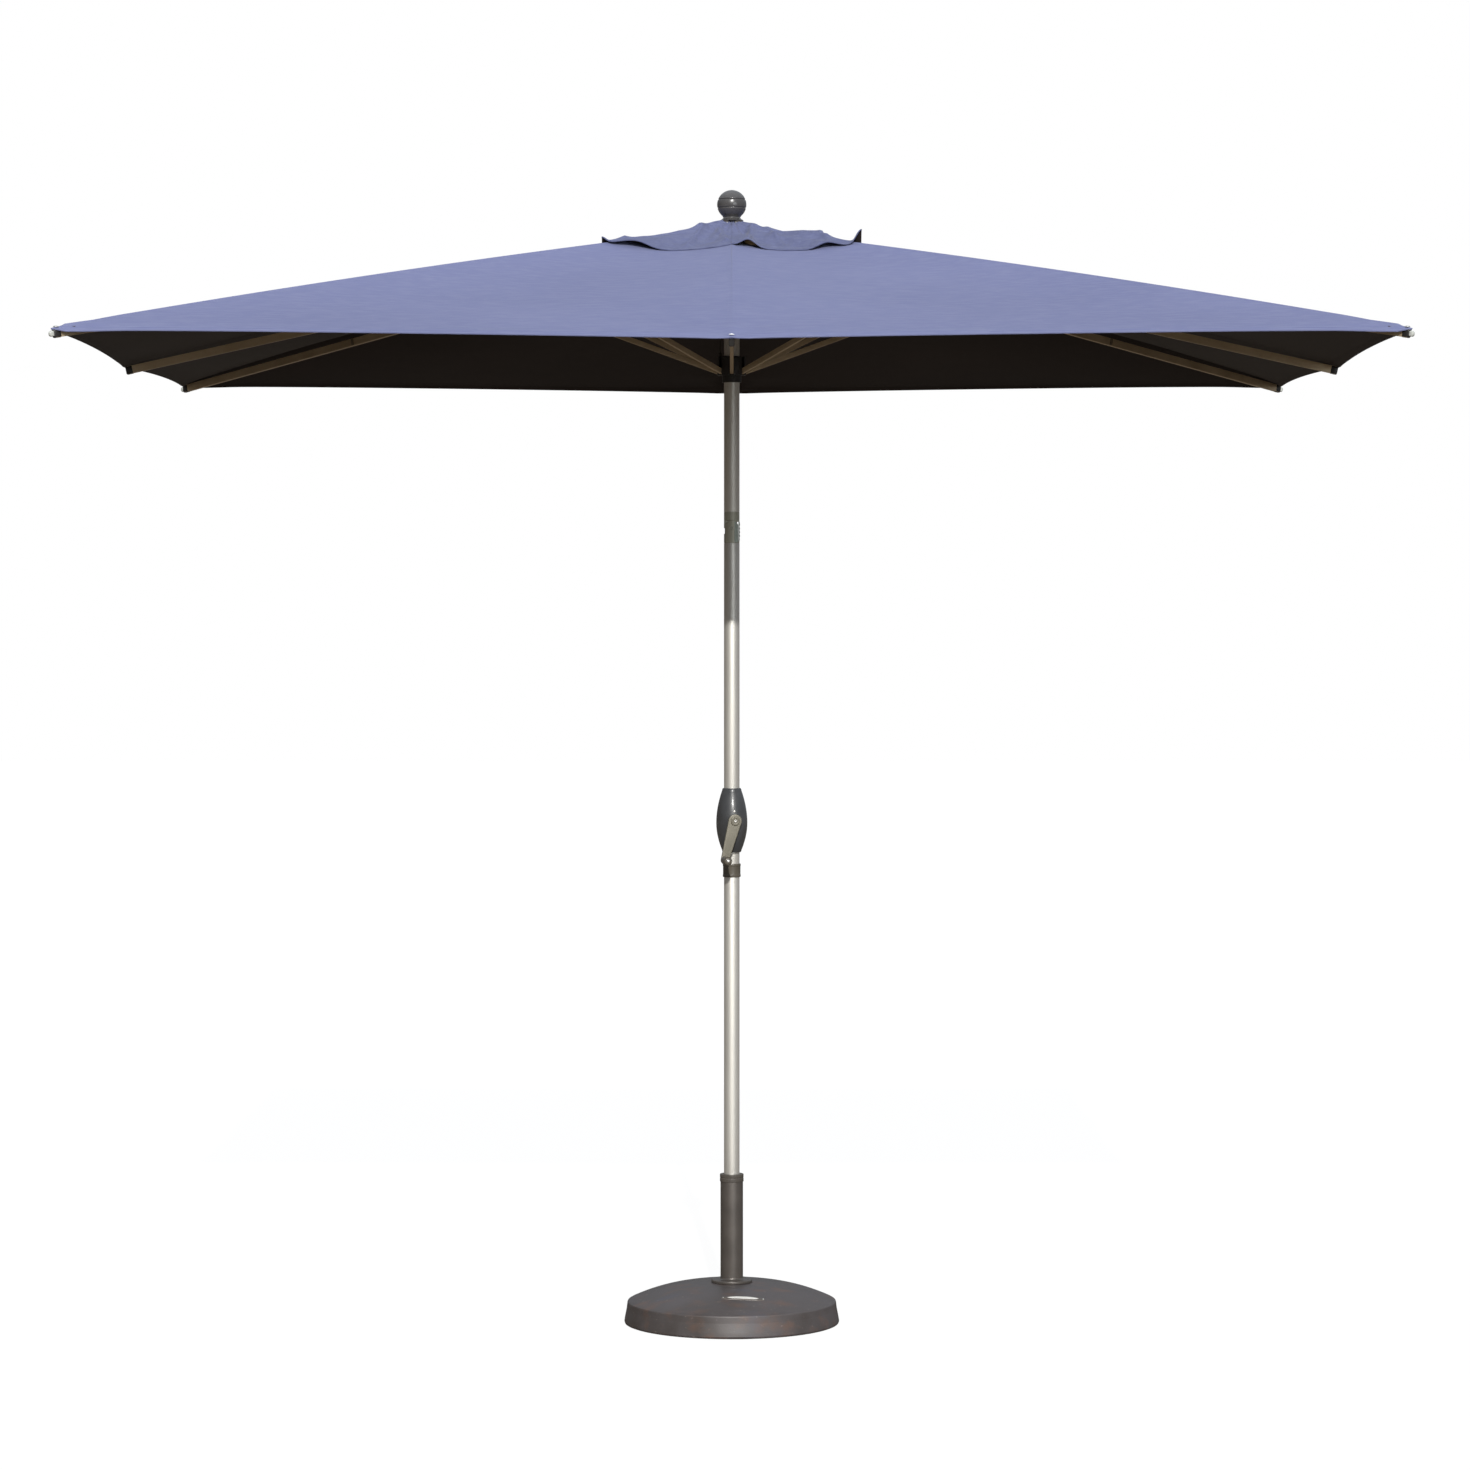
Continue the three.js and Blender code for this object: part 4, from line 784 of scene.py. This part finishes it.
def crank():
    """Housing shells, the snout that the axle comes out of, the tapered arm, its cap, screw and grip."""
    housing_shell("housing_front", "crank_housing_front", -1, FRONT)
    housing_shell("housing_rear", "crank_housing_rear", 1, REAR)
    centre = (0, 0, CRANK_Z)
    front = HOUSE_R * FRONT

    def on_axle(name, outline, body, finish, replaces, radius, sides, at=centre):
        turned(name, outline, body, finish, replaces, radius * MM, sides, axis="y", turn=CRANK_TURN, at=at)
    on_axle("housing_snout", mm_profile(front, (4.4, -9), (16, -9), (13, 0), (11, 3), (4.4, 3)), "pole", HOUSING_ABS,
            (), 0.8, 48)
    back = front + 3.5 * MM
    lean = math.atan2(-(grip_place @ [math.cos(CRANK_TURN), math.sin(CRANK_TURN), 0]), CRANK_Z - grip_place[2])
    arm_length = 91 * MM

    def on_arm(p):
        way = np.array([-math.sin(lean), 0, -math.cos(lean)])
        cross = np.array([math.cos(lean), 0, -math.sin(lean)])
        flat = p[:, :1] * way + p[:, 2:] * cross + p[:, 1:2] * np.array([0, -1, 0])
        return (flat + np.array([0, -(back + 3.5 * MM), 0])) @ about_z(CRANK_TURN).T + centre
    pillow("crank_arm_plate", strap_outline(15 * MM, 9 * MM, arm_length), 3.5 * MM, 1.8 * MM, "crank", CRANK_CAST,
           on_arm, ["crank_arm"])
    face = back + 7 * MM
    on_axle("crank_boss", mm_profile(face, (0, -1), (10.5, -1), (10.5, 1.2), (8.6, 2.4), (7.4, 2.4), (7, 1.4),
                                     (0, 1.4)), "crank", CRANK_CAST, (), 0.4, 48)
    on_axle("crank_screw", mm_profile(face, (0, 1.2), (4.2, 1.2), (4.2, 2.4), (3.2, 3.4), (1.8, 3.4), (1.8, 2.2),
                                      (0, 2.2)), "crank", STEEL, (), 0.3, 30)
    on_axle("housing_screw", mm_profile(front, (0, -3), (3, -3), (3, -0.8), (2, -0.2), (0, -0.2)), "pole",
            RIVET_METAL, (), 0.3, 24, (0, 0, CRANK_Z + 20.5 * MM))
    end = face + 0.5 * MM
    long = 46  # the grip's length in millimetres
    on_axle("grip_sleeve", mm_profile(end, (3.4, 0), (8.6, 0), (9.9, 3), (8.9, 0.35 * long), (9.2, 0.7 * long),
                                      (9.9, long - 6), (7.6, long - 0.8), (5, long), (3.4, long)),
            "grip", COLLAR_ABS, ["crank_grip"], 2, 40, tuple(grip_place))
    pin_head = mm_profile(end + long * MM, (2.8, -2), (4.6, 0.1), (3.6, 1.2), (0, 1.7))
    on_axle("grip_pin", mm_profile(face, (0, -2), (2.8, -2)) + pin_head, "crank",
            RIVET_METAL, (), 0.3, 30, tuple(grip_place))


# -------------------- finial
FLANGE_Z = 2.4822  # the underside of the finial's flange, on the vent cap


def ball_profile(centre, r, grooves, depth, low_deg=-48, top_groove=6.5 * MM):
    """The outline of a ball with cut grooves: radius r less a narrow bell at each groove height."""
    a = np.radians(np.linspace(low_deg, 90, 150))
    z = r * np.sin(a)
    cut = sum(depth * np.exp(-((z - g) / (0.9 * MM)) ** 2) for g in grooves)
    rad = (r - cut) * np.cos(a)
    ring = 0.9 * MM * np.exp(-((rad - top_groove) / (0.8 * MM)) ** 2) * (a > 0.8)
    return np.stack([np.maximum(rad, 0), centre + (r - cut) * np.sin(a) - ring], axis=1)


def finial():
    """A ball on a neck and a flange, turned in one piece."""
    r = 33 * MM
    centre = finial_high[2] - r
    stem = mm_profile(finial_low[2], (0, 0), (8, 0))
    flange = mm_profile(FLANGE_Z, (8, 0), (26, 0), (26.4, 1), (25, 2.4), (21.8, 4), (19.9, 6.3), (19.3, 8.3))
    ball = ball_profile(centre, r, (-7.5 * MM, 11.5 * MM), 1.7 * MM)
    outline = np.concatenate([stem, flange, ball])
    outline[-1, 0] = 0
    t = angles(96)
    points = np.stack([outline[:, :1] * np.cos(t), outline[:, :1] * np.sin(t), outline[:, 1:] + 0 * t], axis=-1)
    mesh_piece("finial_ball", points, grid_faces(len(outline), 96, False, True), "head", [BALL_PAINT],
               ["finial"], sharp=50)


# -------------------- base
DOME_TOP, DOME_R, RIM_R, RIM_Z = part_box("base_weight")[1][2], 50 * MM, 234 * MM, 50 * MM
DOME_POWER = 2.1
TUBE_R, TUBE_TOP = 25.4 * MM, 331 * MM


def dome_height(r):
    """Height of the base's dome at radius r: top - (top - rim height) (share of the way out) ** DOME_POWER."""
    return DOME_TOP - (DOME_TOP - RIM_Z) * np.clip((r - DOME_R) / (RIM_R - DOME_R), 0, 1) ** DOME_POWER


def base():
    """The cast weight, the tube with its flange and cap, the clamp knob and a blank plate."""
    foot, _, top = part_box("base_weight")[1]
    rim, hole = RIM_R, 25.7 * MM
    out = np.linspace(1, 0, 40)[1:]
    dome = np.stack([DOME_R + (rim - DOME_R) * out, dome_height(DOME_R + (rim - DOME_R) * out)], axis=1)
    side = np.array([[foot - 5 * MM, 0], [foot - 1.2 * MM, 1.4 * MM], [foot, 5 * MM], [foot - 1.5 * MM, 14 * MM],
                     [rim + 2.6 * MM, 34 * MM], [rim + 1.4 * MM, 44 * MM], [rim + 1.0 * MM, 47.5 * MM],
                     [rim, 49.6 * MM], [rim - 1.6 * MM, 50.4 * MM]])
    outline = np.concatenate([[[0, 0]], side, dome, [[hole, top], [hole, 11.7 * MM], [0, 11.7 * MM]]])
    turned("base_casting", outline, "base", BASE_CAST, ["base_weight"], 0.5 * MM, 128, sharp=40)
    flange_z, flange_r, bore = top + 0.3 * MM, 46 * MM, TUBE_R - 2.2 * MM
    turned("base_sleeve", [[bore, 12 * MM], [TUBE_R, 12 * MM], [TUBE_R, flange_z], [flange_r, flange_z],
                           [flange_r, flange_z + 5 * MM], [flange_r - 2 * MM, flange_z + 7 * MM],
                           [TUBE_R + 3.5 * MM, flange_z + 7 * MM], [TUBE_R + 0.8 * MM, flange_z + 8.4 * MM],
                           [TUBE_R, flange_z + 11 * MM], [TUBE_R, TUBE_TOP], [bore, TUBE_TOP]],
           "base", TUBE_PAINT, ["base_tube"], 1.2 * MM, 96)
    cap_low, cap_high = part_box("tube_cap")
    r = cap_high[0]
    mid = cap_low[2] + 8 * MM
    ridge = [[r, mid], [r - 0.6 * MM, mid + 0.5 * MM], [r - 0.6 * MM, mid + 1.5 * MM], [r, mid + 2 * MM]]
    turned("tube_cap_ring", [[17.8 * MM, TUBE_TOP + 0.3 * MM], [TUBE_R + 0.2 * MM, TUBE_TOP + 0.3 * MM],
                             [TUBE_R + 0.2 * MM, cap_low[2]], [r, cap_low[2]], *ridge, [r, cap_high[2] - 0.8 * MM],
                             [r - 0.8 * MM, cap_high[2]], [17.8 * MM, cap_high[2]]],
           "base", CAP_ABS, ["tube_cap"], 0.4 * MM, 96)
    knob()
    plate()


def knob():
    """The clamp's star knob: radius 18.5 + 2.5 cos 6t mm, domed, with a boss and a screw to the pole."""
    low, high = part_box("clamp_knob")
    z0 = (low[2] + high[2]) / 2
    y_back, y_front = high[1] - 16 * MM, high[1]
    t = angles(96)
    lobe = (18.5 + 2.5 * np.cos(6 * t)) * MM
    steps = np.array([[0.0, 0], [0.86, 0], [0.97, 0.06], [1.0, 0.2], [1.0, 0.72], [0.95, 0.88], [0.8, 0.97],
                      [0.45, 1.0], [0.0, 1.0]])
    r = steps[:, :1] * lobe
    y = y_back + steps[:, 1:] * (y_front - y_back) + 0 * t
    points = np.stack([r * np.cos(t), y, z0 + r * np.sin(t)], axis=-1)
    mesh_piece("clamp_knob_head", points, grid_faces(len(steps), 96, False, True), "clamp", [NYLON],
               ["clamp_knob"])
    turned("clamp_boss", mm_profile(0, (4.4, 26.4), (9, 26.4), (9, 42), (4.4, 42)), "base",
           TUBE_PAINT, (), 1 * MM, 40, axis="y", turn=math.pi, at=(0, 0, z0))
    turned("clamp_screw", mm_profile(0, (0, 17.9), (4, 17.9), (4, 47), (0, 47)), "clamp", STEEL,
           (), 0.5 * MM, 30, axis="y", turn=math.pi, at=(0, 0, z0))


def plate():
    """A blank plate that lies on the dome, pointed at both ends, with a rivet in each."""
    low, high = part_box("rating_plate")
    mid, half, depth = (low[0] + high[0]) / 2, (high[0] - low[0]) / 2, (high[1] - low[1]) / 2
    yc = (low[1] + high[1]) / 2
    a, b = np.linspace(-1, 1, 61), np.linspace(-1, 1, 13)
    aa, bb = np.meshgrid(a, b, indexing="ij")
    width = depth * (0.3 + 0.7 * np.clip((1 - np.abs(aa)) / 0.35, 0, 1) ** 0.7)
    x, y = mid + half * aa, yc + width * bb
    edge = np.clip(np.minimum(1 - np.abs(aa), 1 - np.abs(bb)) / 0.12, 0, 1)
    ground = dome_height(np.hypot(x, y))
    top = np.stack([x, y, ground + (0.5 + 0.9 * np.sqrt(edge)) * MM], axis=-1)
    under = np.stack([x, y, ground - 0.8 * MM], axis=-1)
    closed_sheet("blank_plate", top, under, "base", PLATE_EDGE, ["rating_plate"])
    # A near-white lens over the middle: bare aluminium with a painted highlight.
    x, y = mid + 0.72 * half * aa, yc + 0.62 * depth * bb * (1 - aa ** 4)
    lens = np.stack([x, y, dome_height(np.hypot(x, y)) + (1.5 + 0.4 * np.sqrt(edge)) * MM], axis=-1)
    closed_sheet("plate_middle_painted_highlight", lens, lens - np.array([0, 0, 1 * MM]), "base", PLATE_PAINTED_HIGHLIGHT)
    for k, side in enumerate((-1, 1)):
        px = mid + side * (half - 3.5 * MM)
        turned(f"plate_rivet_{k + 1}", mm_profile(0, (0, -1), (2.6, -1), (2.4, 0.9), (1.4, 1.7), (0, 2)), "base",
               RIVET_METAL, (), 0.3 * MM, 20,
               at=(px, yc, float(dome_height(np.hypot(px, yc))) + 1.3 * MM))


# -------------------- lift cord
EYE_OUT, EYE_WAY = 27.5 * MM, math.radians(161)  # the cord's eye on the runner: how far out, and which way
PULLEY_SIDE = -23.7 * MM  # where the cord comes down off the pulley
CORD_R = 1.5 * MM


def drop_cord():
    """The outer run of the lift cord, from under the pulley to a knot on the runner."""
    low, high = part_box("lift_cord_drop")
    eye = np.array([EYE_OUT * math.cos(EYE_WAY), EYE_OUT * math.sin(EYE_WAY), low[2]])
    start = np.array([PULLEY_SIDE, 0, high[2]])
    path = smooth_path([start, start - [0, 0, 0.03], (start + eye) / 2 - [0.5 * MM, 0, 0],
                        eye + [0, 0, 0.03], eye], 12)
    tube_along("drop_cord", path, CORD_R, "runner", CORD_BRAID, ["lift_cord_drop"])
    a = np.linspace(-np.pi / 2, np.pi / 2, 12)
    turned("cord_knot", np.stack([4 * MM * np.cos(a), 4.5 * MM * np.sin(a)], 1), "runner", CORD_BRAID, (),
           0.1 * MM, 24, at=tuple(eye + [0, 0, 5 * MM]))


def studio():
    """A pale floor; the camera sees it and the background brighter than they shine on the object."""
    size = 40.0
    mesh = bpy.data.meshes.new("floor")
    mesh.from_pydata([(-size, -size, 0), (size, -size, 0), (size, size, 0), (-size, size, 0)], [], [(0, 1, 2, 3)])
    floor = placed("floor", mesh)
    made, tree, shader = finish_of("pale_floor", {"Roughness": 1.0, "Specular IOR Level": 0.0})
    seen = add(tree, "ShaderNodeLightPath").outputs["Is Camera Ray"]
    for socket, away, near in (("Base Color", (0.16, 0.135, 0.11, 1), (0.07, 0.07, 0.07, 1)),
                               ("Emission Color", (0, 0, 0, 1), (1, 1, 1, 1))):
        tree.links.new(mixed(tree, seen, away, near), shader.inputs[socket])
    shader.inputs["Emission Strength"].default_value = 0.95
    mesh.materials.append(made)
    world = bpy.data.worlds.new("studio")
    bpy.context.scene.world = world
    world.use_nodes = True
    tree = world.node_tree
    back = tree.nodes["Background"]
    seen = add(tree, "ShaderNodeLightPath").outputs["Is Camera Ray"]
    way = add(tree, "ShaderNodeTexCoord").outputs["Generated"]
    parts = add(tree, "ShaderNodeSeparateXYZ", {"Vector": way}).outputs
    lit = (0.075, 0.062, 0.045, 1)
    for axis, low, high, colour in (("X", -0.9, 0.9, (0.27, 0.29, 0.32, 1)), ("Z", 0.08, 0.7, (0.6, 0.65, 0.72, 1))):
        share = add(tree, "ShaderNodeMapRange", {"Value": parts[axis], "From Min": low, "From Max": high})
        lit = mixed(tree, share.outputs["Result"], lit, colour)
    tree.links.new(mixed(tree, seen, lit, (1, 1, 1, 1)), back.inputs["Color"])


studio()
canopy_leaves()
vent_leaves()
ribs_and_struts()
pole()
tilt_button()
crank()
finial()
base()
drop_cord()
